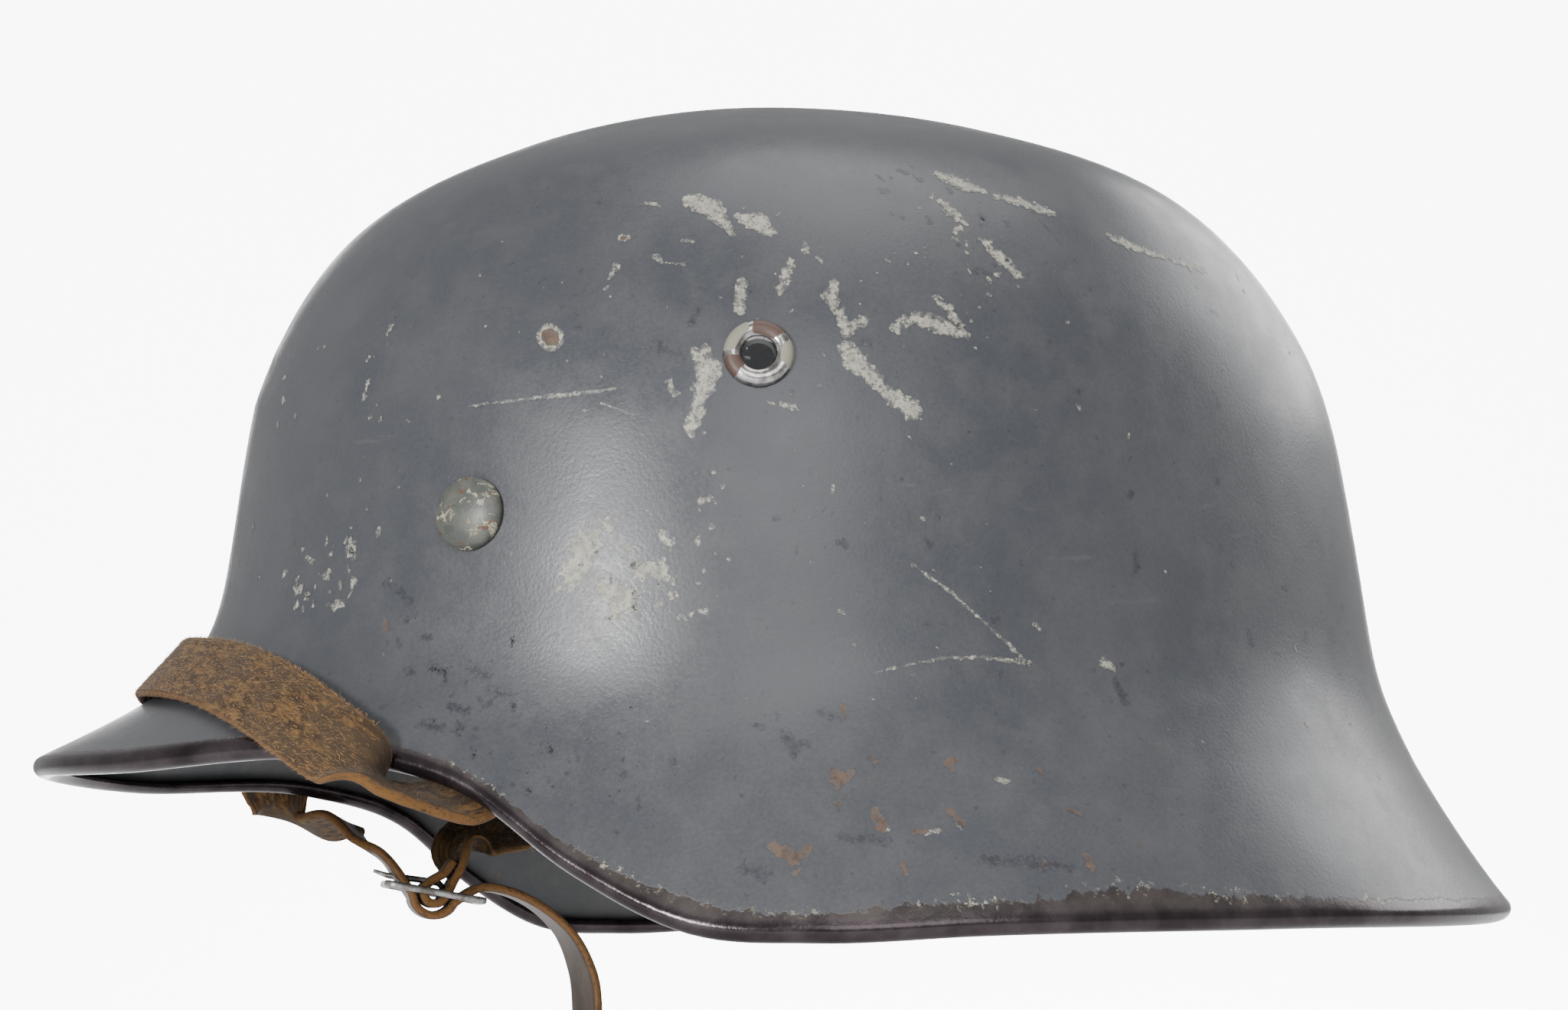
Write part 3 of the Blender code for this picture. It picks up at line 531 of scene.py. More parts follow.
# Sparse chips scattered over an area: what shows, how many, azimuth from and to, height from
# and to in mm, and the smallest and largest radius in mm
SCATTER = (
    ("primer", 40, 12, 40, 62, 112, 0.2, 0.8),
    ("primer", 26, 26, 36, 62, 74, 0.3, 1),
    ("primer", 70, 40, 110, 30, 130, 0.12, 0.35),
    ("primer", 40, 60, 76, 54, 74, 0.2, 0.7),
    ("primer", 26, 84, 106, 96, 120, 0.15, 0.45),
    ("primer", 110, 50, 112, 56, 132, 0.07, 0.20),
    ("primer", 24, 100, 112, 108, 130, 0.15, 0.5),
    ("primer", 40, 110, 175, 20, 140, 0.12, 0.4),
    ("dark", 44, 40, 60, 36, 66, 0.3, 1),
    ("dark", 120, 52, 68, 24, 44, 0.15, 0.6),
    ("dark", 60, 60, 112, 20, 112, 0.25, 0.8),
    ("dark", 26, 95, 112, 112, 135, 0.3, 0.9),
    ("dark", 40, 110, 175, 20, 120, 0.25, 0.8),
    ("rust", 14, 78, 116, 9, 30, 0.25, 0.7),
    ("primer", 90, -175, -20, 15, 140, 0.15, 0.8),
    ("dark", 90, -175, -20, 15, 130, 0.25, 1),
    ("rust", 16, -140, -50, 10, 40, 0.3, 1),
    ("primer", 24, -20, 20, 60, 150, 0.15, 0.6),
    ("primer", 150, -180, -15, 16, 140, 0.15, 1),
    ("dark", 90, -180, -25, 16, 120, 0.35, 1.4),
    ("rust", 22, -180, -110, 9, 26, 0.3, 1.1),
)

# Longer scrapes on the sides that the camera doesn't see
FAR_MARKS = (
    ("primer", (1, (-62, 118, 1.2), (-66, 115, 1.6), (-70, 109, 0.6)),
     (0.9, (-96, 100, 0.8), (-99, 97, 1.4), (-101, 90, 0.7)),
     (0.4, (-84, 66, 0.2), (-92, 58, 0.4), (-97, 52, 0.2)),
     (1.4, (-118, 84, 1.4), (-121, 80, 2), (-122, 75, 0.8)),
     (0.8, (-40, 92, 0.8), (-42, 86, 1))),
    ("rust", (0.8, (-88, 30, 1), (-90, 28, 1.4))),
    ("primer", (1, (168, 120, 1), (174, 117, 1.3), (179, 116, 0.7)),
     (0.4, (160, 70, 0.2), (168, 66, 0.4), (175, 60, 0.2)),
     (1, (-4, 120, 0.8), (3, 117, 1.4), (8, 112, 0.6))),
    ("dark", (0.9, (-60, 60, 1.2), (-64, 56, 1))),
    ("primer", (0.8, (-150, 96, 0.8), (-153, 94, 1.3), (-157, 93, 0.5)),
     (1, (-132, 58, 1), (-134, 55, 1.7), (-134.5, 51, 0.8)),
     (0.4, (-110, 120, 0.2), (-118, 112, 0.4), (-124, 103, 0.2)),
     (0.4, (-52, 74, 0.2), (-60, 71, 0.4), (-68, 70, 0.2)),
     (1.2, (-72, 86, 1.2), (-74, 82, 2), (-74.5, 77, 0.9)),
     (1, (-104, 38, 0.7), (-108, 35, 1.3), (-111, 34.5, 0.6)),
     (0.8, (-160, 44, 0.8), (-163, 41, 1.4))),
    ("rust", (0.8, (-120, 22, 1), (-123, 20, 1.5))),
)


# Stage: floor, paper behind the object, and lamps by way, distance, size and power
FLOOR_LEVEL = -0.30
WORLD_LIGHT = 0.52
BACKDROP_LIGHT = 8.0
BACKDROP_AWAY = 2.15
BACKDROP_HALF = (0.66, 0.43)
LIGHT_TARGET = (0.0, 0.0, -0.09)
LIGHTS = (
    ("soft_front_left", (0.78, -0.62, 0.12), 1.1, (0.15, 0.15), 12.0),
    ("soft_camera", (0.90, -0.02, 0.36), 1.3, (0.60, 0.60), 5.5),
    ("soft_top", (0.15, 0.20, 1.0), 1.3, (0.9, 0.9), 8.0),
    ("soft_rear", (-0.35, 0.75, 0.42), 1.3, (1.0, 0.6), 9.0),
)
CAMERA_LENS = 65.35
CAMERA_PLACE = (0.5480, -0.1052, -0.1502)
CAMERA_RIGHT = (0.1914, 0.9800, -0.0553)
CAMERA_UP = (0.1393, 0.0287, 0.9898)


class Nodes:
    """Short way to write a material's nodes."""

    def __init__(self, name):
        self.material = bpy.data.materials.new(name)
        self.material.use_nodes = True
        self.tree = self.material.node_tree
        self.shader = self.tree.nodes["Principled BSDF"]

    def put(self, socket, value):
        """Link a socket to another, or set its number."""
        if isinstance(value, bpy.types.NodeSocket):
            self.tree.links.new(value, socket)
        elif hasattr(socket.default_value, "__len__") and len(value) == 3:
            size = len(socket.default_value)
            socket.default_value = (*value, 1.0) if size == 4 else value
        else:
            socket.default_value = value

    def add(self, kind, output, inputs, **settings):
        """Add a node with its settings and inputs, and give one of its outputs."""
        node = self.tree.nodes.new("ShaderNode" + kind)
        for name, value in settings.items():
            setattr(node, name, value)
        for name, value in inputs.items():
            self.put(node.inputs[name], value)
        return node.outputs[output]

    def place(self):
        """Coordinates of the helmet's own frame."""
        return self.add("TexCoord", "Object", {})

    def attribute(self, name, output="Fac"):
        """Read a named attribute of the mesh."""
        return self.add("Attribute", output, {}, attribute_name=name)

    def stretch(self, vector, scale):
        """Scale coordinates along each axis."""
        return self.add("Mapping", "Vector", {"Vector": vector, "Scale": scale})

    def noise(self, vector, scale, detail=3.0, rough=0.55, bend=0.0):
        """Fractal noise from 0 to 1."""
        return self.add("TexNoise", "Fac", {"Vector": vector, "Scale": scale, "Detail": detail,
                                            "Roughness": rough, "Distortion": bend})

    def math(self, kind, *values):
        """One sum."""
        return self.add("Math", 0, dict(enumerate(values)), operation=kind)

    def step(self, value, low, high):
        """Smooth step from 0 at low to 1 at high."""
        return self.add("MapRange", "Result", {"Value": value, "From Min": low, "From Max": high},
                        interpolation_type="SMOOTHSTEP")

    def part(self, value, low, high, share):
        """Smooth step from 0 at low to a share at high."""
        return self.math("MULTIPLY", self.step(value, low, high), share)

    def span(self, value, low, high):
        """Straight line from low at 0 to high at 1."""
        return self.add("MapRange", "Result", {"Value": value, "To Min": low, "To Max": high})

    def mix(self, share, a, b, kind="RGBA"):
        """Blend two colours, or two directions."""
        first, output = {"RGBA": (6, 2), "VECTOR": (4, 1)}[kind]
        return self.add("Mix", output, {"Factor": share, first: a, first + 1: b}, data_type=kind)

    def bump(self, height, depth, strength=1.0, normal=None):
        """Small relief, with its depth in metres."""
        below = {"Normal": normal} if normal else {}
        return self.add("Bump", "Normal", {"Height": height, "Distance": depth,
                                           "Strength": strength, **below})

    def set(self, **values):
        """Set the shader's own sockets."""
        for name, value in values.items():
            self.put(self.shader.inputs[name.replace("_", " ")], value)
        return self.material


def paint_material():
    """Blue-grey field paint, dulled and scuffed, worn to dark steel along the rim."""
    n = Nodes("worn_field_paint")
    place = n.place()
    broad = n.noise(place, 22.0, 3.0, 0.6, 0.4)
    cloud = n.noise(place, 120.0, 4.0, 0.6)
    grain = n.noise(place, 1500.0, 2.0, 0.6)
    fleck = n.noise(place, 620.0, 3.0, 0.7)
    drag = n.noise(n.stretch(place, (60.0, 60.0, 420.0)), 1.0, 4.0, 0.6, 0.6)
    color = n.mix(n.step(broad, 0.35, 0.65), (0.046, 0.049, 0.056), (0.058, 0.060, 0.066))
    color = n.mix(n.part(cloud, 0.42, 0.68, 0.5), color, (0.066, 0.067, 0.071))
    color = n.mix(n.part(fleck, 0.64, 0.72, 0.55), color, (0.024, 0.026, 0.036))
    color = n.mix(n.part(fleck, 0.30, 0.22, 0.35), color, (0.13, 0.13, 0.12))
    color = n.mix(n.part(drag, 0.66, 0.74, 0.30), color, (0.092, 0.094, 0.096))
    color = n.mix(n.step(grain, 0.30, 0.72), n.mix(0.10, color, (0.0, 0.0, 0.0)), color)
    wear = n.attribute("rim_wear")
    rag = n.math("MULTIPLY_ADD", n.noise(place, 330.0, 5.0, 0.72), 1.3, -0.65)
    worn = n.math("ADD", wear, rag)
    steel_color = n.mix(n.step(cloud, 0.35, 0.7), (0.036, 0.030, 0.030), (0.066, 0.054, 0.050))
    speck = n.step(n.noise(place, 900.0, 3.0, 0.75), 0.56, 0.62)
    border = n.math("MULTIPLY", n.step(worn, 0.02, 0.22), n.step(worn, 0.75, 0.35))
    color = n.mix(n.step(worn, 0.30, 0.42), color, steel_color)
    patch = n.step(n.noise(place, 75.0, 3.0, 0.6), 0.46, 0.60)
    left = n.math("MULTIPLY", n.math("MULTIPLY", border, speck), patch)
    color = n.mix(left, color, (0.30, 0.285, 0.215))
    bead = n.attribute("bead")
    bare = n.mix(n.step(cloud, 0.3, 0.7), (0.024, 0.018, 0.020), (0.058, 0.046, 0.050))
    color = n.mix(bead, color, bare)
    steel = n.math("MAXIMUM", n.part(worn, 0.30, 0.42, 0.45), bead)
    rough = n.span(n.step(cloud, 0.3, 0.7), 0.31, 0.39)
    rough = n.math("MULTIPLY_ADD", steel, -0.13, rough)
    rough = n.math("MULTIPLY_ADD", n.math("SUBTRACT", grain, 0.5), 0.18, rough)
    relief = n.bump(grain, 0.00006, 0.5)
    relief = n.bump(cloud, 0.00010, 0.35, relief)
    relief = n.bump(n.step(worn, 0.28, 0.40), -0.00005, 0.6, relief)
    return n.set(Base_Color=color, Roughness=rough, Metallic=n.math("MULTIPLY", steel, 0.75),
                 Normal=relief, Specular_IOR_Level=0.42)


def inner_material():
    """Darker paint inside the shell, rubbed and dusty."""
    n = Nodes("inside_paint")
    place = n.place()
    cloud = n.noise(place, 60.0, 5.0, 0.65, 0.5)
    grain = n.noise(place, 1300.0, 2.0, 0.6)
    color = n.mix(n.step(cloud, 0.35, 0.70), (0.040, 0.043, 0.046), (0.070, 0.070, 0.068))
    color = n.mix(n.part(n.noise(place, 240.0, 5.0, 0.7), 0.60, 0.68, 0.5),
                  color, (0.11, 0.075, 0.05))
    return n.set(Base_Color=color, Roughness=n.span(cloud, 0.5, 0.7),
                 Normal=n.bump(grain, 0.00007, 0.5))


def mark_material(name, dark, light, roughness, pores):
    """Bare primer, rust or scuffed paint inside a chip, with paint left in its pores."""
    n = Nodes(name)
    place = n.place()
    cloud = n.noise(place, 420.0, 5.0, 0.75)
    grain = n.noise(place, 2400.0, 3.0, 0.7)
    color = n.mix(n.step(cloud, 0.32, 0.62), dark, light)
    left = n.math("SUBTRACT", n.noise(place, 1250.0, 6.0, 0.85),
                  n.math("MULTIPLY", n.attribute("depth"), 0.11))
    kept = n.math("MULTIPLY", n.step(left, 0.445 - 0.05 * pores, 0.540 - 0.05 * pores), pores)
    color = n.mix(kept, color, (0.052, 0.054, 0.059))
    return n.set(Base_Color=color, Roughness=n.span(kept, roughness, 0.40),
                 Normal=n.bump(grain, 0.00006, 0.6))


def rivet_material():
    """Olive-grey paint on a rivet head, chipped to cream primer with rust spots, and painted shade
    darkening the crevice round its rim.
    """
    n = Nodes("rivet_field_paint")
    place = n.place()
    cloud = n.noise(place, 260.0, 4.0, 0.65)
    chip = n.noise(place, 330.0, 6.0, 0.72, 0.6)
    spot = n.noise(n.stretch(place, (1.0, 1.0, 1.3)), 420.0, 3.0, 0.6)
    grain = n.noise(place, 1600.0, 2.0, 0.6)
    color = n.mix(n.step(cloud, 0.35, 0.65), (0.048, 0.052, 0.047), (0.082, 0.084, 0.070))
    bare = n.step(chip, 0.555, 0.60)
    color = n.mix(bare, color, (0.27, 0.255, 0.185))
    color = n.mix(n.step(spot, 0.62, 0.66), color, (0.085, 0.042, 0.022))
    # Painted shade: near-black colour in the crevice where the head's rim meets the shell.
    color = n.mix(n.step(n.attribute("crevice"), 0.35, 1.0), color, (0.018, 0.015, 0.012))
    relief = n.bump(bare, -0.00007, 0.8, n.bump(grain, 0.00006, 0.5))
    return n.set(Base_Color=color, Roughness=n.span(bare, 0.42, 0.62), Normal=relief)


def vent_material():
    """Vent bush with most of its paint gone: bright steel, primer and brown stains, and painted
    shade round the flange's edge.
    """
    n = Nodes("vent_worn_steel")
    place = n.place()
    cloud = n.noise(place, 500.0, 4.0, 0.65)
    rag = n.math("MULTIPLY_ADD", n.noise(place, 520.0, 5.0, 0.7), 0.9, -0.45)
    cream = n.step(n.math("ADD", n.attribute("cream"), rag), 0.45, 0.52)
    brown = n.step(n.math("ADD", n.attribute("brown"), rag), 0.45, 0.52)
    color = n.mix(n.step(cloud, 0.35, 0.65), (0.20, 0.19, 0.185), (0.46, 0.45, 0.44))
    color = n.mix(brown, color, (0.062, 0.034, 0.024))
    color = n.mix(cream, color, (0.20, 0.19, 0.145))
    paint = n.attribute("paint")
    color = n.mix(paint, color, (0.075, 0.078, 0.075))
    # Painted shade: near-black colour in the crevice where the flange's edge meets the shell.
    color = n.mix(n.step(n.attribute("crevice"), 0.3, 1.0), color, (0.02, 0.018, 0.016))
    metal = n.math("SUBTRACT", 1.0, n.math("MAXIMUM", cream, n.math("MAXIMUM", brown, paint)))
    rough = n.span(metal, 0.50, 0.22)
    return n.set(Base_Color=color, Roughness=rough, Metallic=n.math("MULTIPLY", metal, 0.95),
                 Normal=n.bump(cloud, 0.00008, 0.6))


def steel_material(name, light, dark, roughness, rust):
    """Dull worn steel with tarnish."""
    n = Nodes(name)
    place = n.place()
    cloud = n.noise(place, 380.0, 5.0, 0.7)
    grain = n.noise(place, 1500.0, 3.0, 0.6)
    color = n.mix(n.step(cloud, 0.35, 0.62), light, dark)
    spots = n.part(n.noise(place, 700.0, 4.0, 0.7), 0.58, 0.66, rust)
    color = n.mix(spots, color, (0.13, 0.07, 0.04))
    return n.set(Base_Color=color, Roughness=n.span(cloud, roughness, roughness + 0.2),
                 Metallic=0.85, Normal=n.bump(grain, 0.00006, 0.5))


def leather_material():
    """Old leather: rough golden-brown flesh side, smooth dark grain side and ragged edges."""
    n = Nodes("aged_leather")
    lie = n.attribute("lie", "Vector")
    rough_side = n.attribute("rough_side")
    edge = n.attribute("edge")
    streak = n.noise(n.stretch(lie, (260.0, 900.0, 900.0)), 1.0, 5.0, 0.65, 0.8)
    blotch = n.noise(n.stretch(lie, (70.0, 130.0, 130.0)), 1.0, 5.0, 0.65, 0.6)
    fine = n.noise(n.stretch(lie, (1100.0, 2300.0, 2300.0)), 1.0, 3.0, 0.65)
    flesh = n.mix(n.step(streak, 0.42, 0.66), (0.030, 0.017, 0.008), (0.145, 0.078, 0.026))
    flesh = n.mix(n.part(blotch, 0.44, 0.62, 0.80), flesh, (0.045, 0.030, 0.018))
    flesh = n.mix(n.part(fine, 0.60, 0.75, 0.5), flesh, (0.23, 0.125, 0.042))
    smooth = n.mix(n.step(blotch, 0.38, 0.66), (0.030, 0.020, 0.013), (0.060, 0.041, 0.028))
    smooth = n.mix(n.part(streak, 0.55, 0.72, 0.4), smooth, (0.13, 0.080, 0.045))
    color = n.mix(rough_side, smooth, flesh)
    fringe = n.math("MULTIPLY", n.step(edge, 0.35, 0.95), n.step(fine, 0.25, 0.55))
    color = n.mix(fringe, color, (0.135, 0.064, 0.020))
    crackle = n.noise(n.stretch(lie, (900.0, 500.0, 500.0)), 1.0, 6.0, 0.75, 1.0)
    relief = n.bump(streak, 0.00045, 0.8)
    relief = n.bump(fine, 0.00022, 0.9, relief)
    relief = n.mix(rough_side, n.bump(crackle, 0.00012, 0.5), relief, "VECTOR")
    return n.set(Base_Color=color, Roughness=n.span(rough_side, 0.50, 0.92), Normal=relief,
                 Sheen_Weight=0.05, Specular_IOR_Level=0.22)


def fibre_material():
    """Loose fibres of the rough side, from dark brown to gold."""
    n = Nodes("leather_fibre")
    tone = n.attribute("tone")
    color = n.mix(n.step(tone, 0.0, 0.6), (0.040, 0.022, 0.009), (0.15, 0.080, 0.027))
    color = n.mix(n.step(tone, 0.6, 1.0), color, (0.29, 0.165, 0.058))
    return n.set(Base_Color=color, Roughness=0.75, Sheen_Weight=0.2)


def add_object(name, points, faces, materials, slots=None):
    """Make a mesh object in the scene."""
    mesh = bpy.data.meshes.new(name)
    mesh.from_pydata([tuple(p) for p in points], [], faces)
    for material in materials:
        mesh.materials.append(material)
    if slots is not None:
        mesh.polygons.foreach_set("material_index", slots)
    mesh.polygons.foreach_set("use_smooth", [True] * len(mesh.polygons))
    mesh.update()
    made = bpy.data.objects.new(name, mesh)
    bpy.context.scene.collection.objects.link(made)
    return made


def net(rows, columns, base=0, ring=False, tube=False, flip=False):
    """Faces of a net of points laid row by row, closed round as a ring of rows or as a tube."""
    faces = []
    for i in range(rows if ring else rows - 1):
        here, there = base + i * columns, base + (i + 1) % rows * columns
        for k in range(columns if tube else columns - 1):
            n = (k + 1) % columns
            face = (here + k, here + n, there + n, there + k)
            faces.append(face[:1] + face[:0:-1] if flip else face)
    return faces


def keep_values(made, name, values, kind="FLOAT"):
    """Store one value for each point of a mesh."""
    layer = made.data.attributes.new(name, kind, "POINT")
    flat = np.asarray(values, dtype=float).ravel()
    layer.data.foreach_set("vector" if kind == "FLOAT_VECTOR" else "value", flat)


def settle(made):
    """Replace an object's mesh by what its modifiers make of it."""
    graph = bpy.context.evaluated_depsgraph_get()
    mesh = bpy.data.meshes.new_from_object(made.evaluated_get(graph))
    made.modifiers.clear()
    made.data = mesh


def ease_turn(flat):
    """Even out the turn from the dome into the flare."""
    low, high = DOME_ROWS - EASE_ABOVE, DOME_ROWS + EASE_BELOW
    for _ in range(EASE_TIMES):
        moved = [flat[k] + (flat[k - 1] + flat[k + 1] - 2 * flat[k]) * 0.25
                 * min(1.0, (k - low) / EASE_FADE, (high - k) / EASE_FADE)
                 for k in range(low, high + 1)]
        flat[low:high + 1] = moved


def build_shell():
    """The shell as one fine sheet, with its vent holes, and the wear along its rim."""
    points = [Vector((0, 0, SHEET))]
    wear = [-1.0]
    bead = [0.0]
    rows = DOME_ROWS + FLARE_ROWS + ROLL_ROWS
    half_rows = []
    for i in range(AROUND // 2 + 1):
        azimuth = 360.0 * i / AROUND
        leave = smooth(BRIM, 5, azimuth)
        flat = [dome_point(azimuth, leave * k / DOME_ROWS) for k in range(1, DOME_ROWS + 1)]
        flat += [flare_point(azimuth, k / FLARE_ROWS) for k in range(1, FLARE_ROWS + 1)]
        ease_turn(flat)
        half_rows.append(flat + roll_points(azimuth, ROLL_ROWS))
    for i in range(AROUND):
        azimuth = 360.0 * i / AROUND
        flat = half_rows[min(i, AROUND - i)]
        end = DOME_ROWS + FLARE_ROWS - 1
        run = 0.0
        away = [0.0] * rows
        for k in range(end - 1, -1, -1):
            run += (flat[k + 1] - flat[k]).length
            away[k] = run
        reach = smooth(RIM_WEAR, 1, side_of(azimuth)) * MM
        for k in range(rows):
            spot = in_space(azimuth, flat[k])
            dent = sum(noise.noise(spot * fine) * depth for fine, depth in DENTS)
            if k >= end - 2:
                dent = 0.0
            points.append(spot + outward(azimuth) * dent)
            wear.append(1.0 - away[k] / reach if k < end else 1.0)
            bead.append(1.0 if k >= end else max(0.0, 1.0 - away[k] / BEAD_FADE))
    wear = [max(-1.5, w) for w in wear]
    faces = [(0, 1 + i * rows, 1 + (i + 1) % AROUND * rows) for i in range(AROUND)]
    faces += net(AROUND, rows, 1, ring=True)
    shell = add_object("shell_painted", points, faces, [paint_material(), inner_material()])
    keep_values(shell, "rim_wear", wear)
    keep_values(shell, "bead", bead)
    thick = shell.modifiers.new("sheet", "SOLIDIFY")
    thick.thickness = SHEET
    thick.offset = -1.0
    thick.use_even_offset = True
    thick.material_offset = 1
    thick.material_offset_rim = 0
    cutters = []
    for side in (1, -1):
        point, normal, downhill = skin_frame(side * VENT_AZIMUTH, VENT_HEIGHT)
        mesh = bpy.data.meshes.new("vent_pin")
        work = bmesh.new()
        barrel = VENT_HOLE_RADIUS + VENT_WALL
        bmesh.ops.create_cone(work, cap_ends=True, segments=48, radius1=barrel, radius2=barrel,
                              depth=8 * SHEET)
        work.to_mesh(mesh)
        work.free()
        pin = bpy.data.objects.new("vent_pin", mesh)
        bpy.context.scene.collection.objects.link(pin)
        turn = normal.to_track_quat("Z", "Y").to_matrix().to_4x4()
        pin.matrix_world = Matrix.Translation(point) @ turn
        boolean = shell.modifiers.new("vent", "BOOLEAN")
        boolean.operation = "DIFFERENCE"
        boolean.solver = "EXACT"
        boolean.object = pin
        cutters.append(pin)
    settle(shell)
    for pin in cutters:
        bpy.data.objects.remove(pin, do_unlink=True)
    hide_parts("shell")
    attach(shell, "root")
    return shell


class Skin:
    """The finished outer face, to lay marks on."""

    def __init__(self, shell):
        mesh = shell.data
        mesh.calc_loop_triangles()
        self.tree = BVHTree.FromPolygons([v.co.copy() for v in mesh.vertices],
                                         [tuple(t.vertices) for t in mesh.loop_triangles])
        self.points = []
        self.depths = []
        self.faces = []
        self.slots = []

    def drop(self, place, normal, lift):
        """Place of the outer face along a normal, lifted a little."""
        spot, facing, *rest = self.tree.ray_cast(place + normal * 9 * MM, -normal, 18 * MM)
        return place if spot is None else spot + facing * lift

    def lay(self, line, ragged, slot, seed, finest=FINE_NEAR):
        """Lay one mark along a line of azimuth, height and half width in mm."""
        knots = [skin_frame(a, h * MM)[0] for a, h, w in line]
        middle = line[len(line) // 2]
        centre, normal, downhill = skin_frame(middle[0], middle[1] * MM)
        sideways = normal.cross(downhill)
        flat = [((k - centre).dot(sideways) / MM, (k - centre).dot(downhill) / MM) for k in knots]
        wide = max(w for a, h, w in line)
        fine = min(FINE_MOST, max(finest, wide * FINE_SHARE))
        pad = wide + 0.6 * ragged + fine
        low_u = min(u for u, v in flat) - pad
        low_v = min(v for u, v in flat) - pad
        count_u = int((max(u for u, v in flat) + pad - low_u) / fine) + 2
        count_v = int((max(v for u, v in flat) + pad - low_v) / fine) + 2
        grid_u, grid_v = np.meshgrid(low_u + fine * np.arange(count_u),
                                     low_v + fine * np.arange(count_v))
        value = np.full(grid_u.shape, -9.0)
        for i in range(len(line) - 1):
            (ax, ay), (bx, by) = flat[i], flat[i + 1]
            run = max((bx - ax) ** 2 + (by - ay) ** 2, 1e-6)
            t = np.clip(((grid_u - ax) * (bx - ax) + (grid_v - ay) * (by - ay)) / run, 0.0, 1.0)
            away = np.hypot(grid_u - ax - t * (bx - ax), grid_v - ay - t * (by - ay))
            value = np.maximum(value, line[i][2] * (1 - t) + line[i + 1][2] * t - away)
        shift = Vector((seed * 7.31, seed * 3.17, seed * 1.73))
        for r, c in zip(*np.nonzero(value > -ragged)):
            spot = Vector((grid_u[r, c], grid_v[r, c], 0.0))
            rag = noise.fractal(spot * 0.75 + shift, 0.55, 2.1, 4)
            value[r, c] += ragged * 0.9 * rag
        self.contour(value, low_u, low_v, fine, centre, normal, sideways, downhill, slot)

    def contour(self, value, low_u, low_v, fine, centre, normal, sideways, downhill, slot):
        """Faces over the part of a grid where the value is above nought."""
        made = {}
        lift = MARK_LIFT + KIND_LIFT * slot

        def vertex(key, u, v, deep):
            if key not in made:
                flat = sideways * (low_u + fine * u) + downhill * (low_v + fine * v)
                made[key] = len(self.points)
                self.points.append(self.drop(centre + flat * MM, normal, lift))
                self.depths.append(min(1.0, deep))
            return made[key]

        high = value > 0.0
        cells = high[:-1, :-1] | high[1:, :-1] | high[:-1, 1:] | high[1:, 1:]
        for r, c in zip(*np.nonzero(cells)):
            ring = []
            corners = ((r, c), (r, c + 1), (r + 1, c + 1), (r + 1, c))
            for k in range(4):
                (ar, ac), (br, bc) = corners[k], corners[(k + 1) % 4]
                a, b = value[ar, ac], value[br, bc]
                if a > 0:
                    ring.append(vertex((ar, ac), ac, ar, a))
                if (a > 0) != (b > 0):
                    t = a / (a - b)
                    key = (min(ar, br), min(ac, bc), ar == br)
                    ring.append(vertex(key, ac + (bc - ac) * t, ar + (br - ar) * t, 0.0))
            if len(ring) >= 3:
                self.faces.append(tuple(ring))
                self.slots.append(slot)


def build_wear(shell):
    """Chips, scrapes, stains and scratches in the paint, as thin skins on the shell."""
    skin = Skin(shell)
    kinds = {kind: slot for slot, kind in enumerate(MARK_KINDS)}
    marks = [(kind, *mark) for kind, *group in MARKS + FAR_MARKS for mark in group]
    for i, (kind, ragged, *line) in enumerate(marks):
        skin.lay(line, ragged, kinds[kind], i + 1)
    pick = random.Random(41)
    for kind, count, a0, a1, h0, h1, small, large in SCATTER:
        for i in range(count):
            size = small + (large - small) * pick.random() ** 3
            azimuth = pick.uniform(a0, a1)
            height = pick.uniform(h0, h1)
            turn = pick.uniform(0.0, math.pi)
            stretch = size * pick.uniform(0.2, 1.6)
            da = math.degrees(stretch * math.cos(turn) / 100.0)
            dh = stretch * math.sin(turn)
            edge = smooth(BRIM, 3, side_of(azimuth)) * VISOR_HEIGHT / MM
            if height < edge + 4.0:
                continue
            line = [(azimuth - da, height - dh, size), (azimuth + da, height + dh, size * 0.7)]
            skin.lay(line, size * 1.1, kinds[kind], 100 + pick.random() * 50,
                     FINE_NEAR if a1 > 0 else FINE_FAR)
    materials = [mark_material(*row) for row in MARK_KINDS.values()]
    wear = add_object("shell_wear", skin.points, skin.faces, materials, skin.slots)
    keep_values(wear, "depth", skin.depths)
    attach(wear, "root")


def lathe(name, profile, steps, material, point, normal, up):
    """Turned piece from a profile of radius and height, stood on a point, with its angle kept."""
    side = up.cross(normal).normalized()
    turn = Matrix([-side, normal.cross(side).normalized(), normal]).transposed()
    points = []
    angles = []
    for i in range(steps):
        a = 2 * math.pi * i / steps
        for r, z in profile:
            points.append(point + turn @ Vector((r * math.cos(a), r * math.sin(a), z)))
            angles.append(math.degrees(a))
    return add_object(name, points, net(steps, len(profile), ring=True), [material]), angles


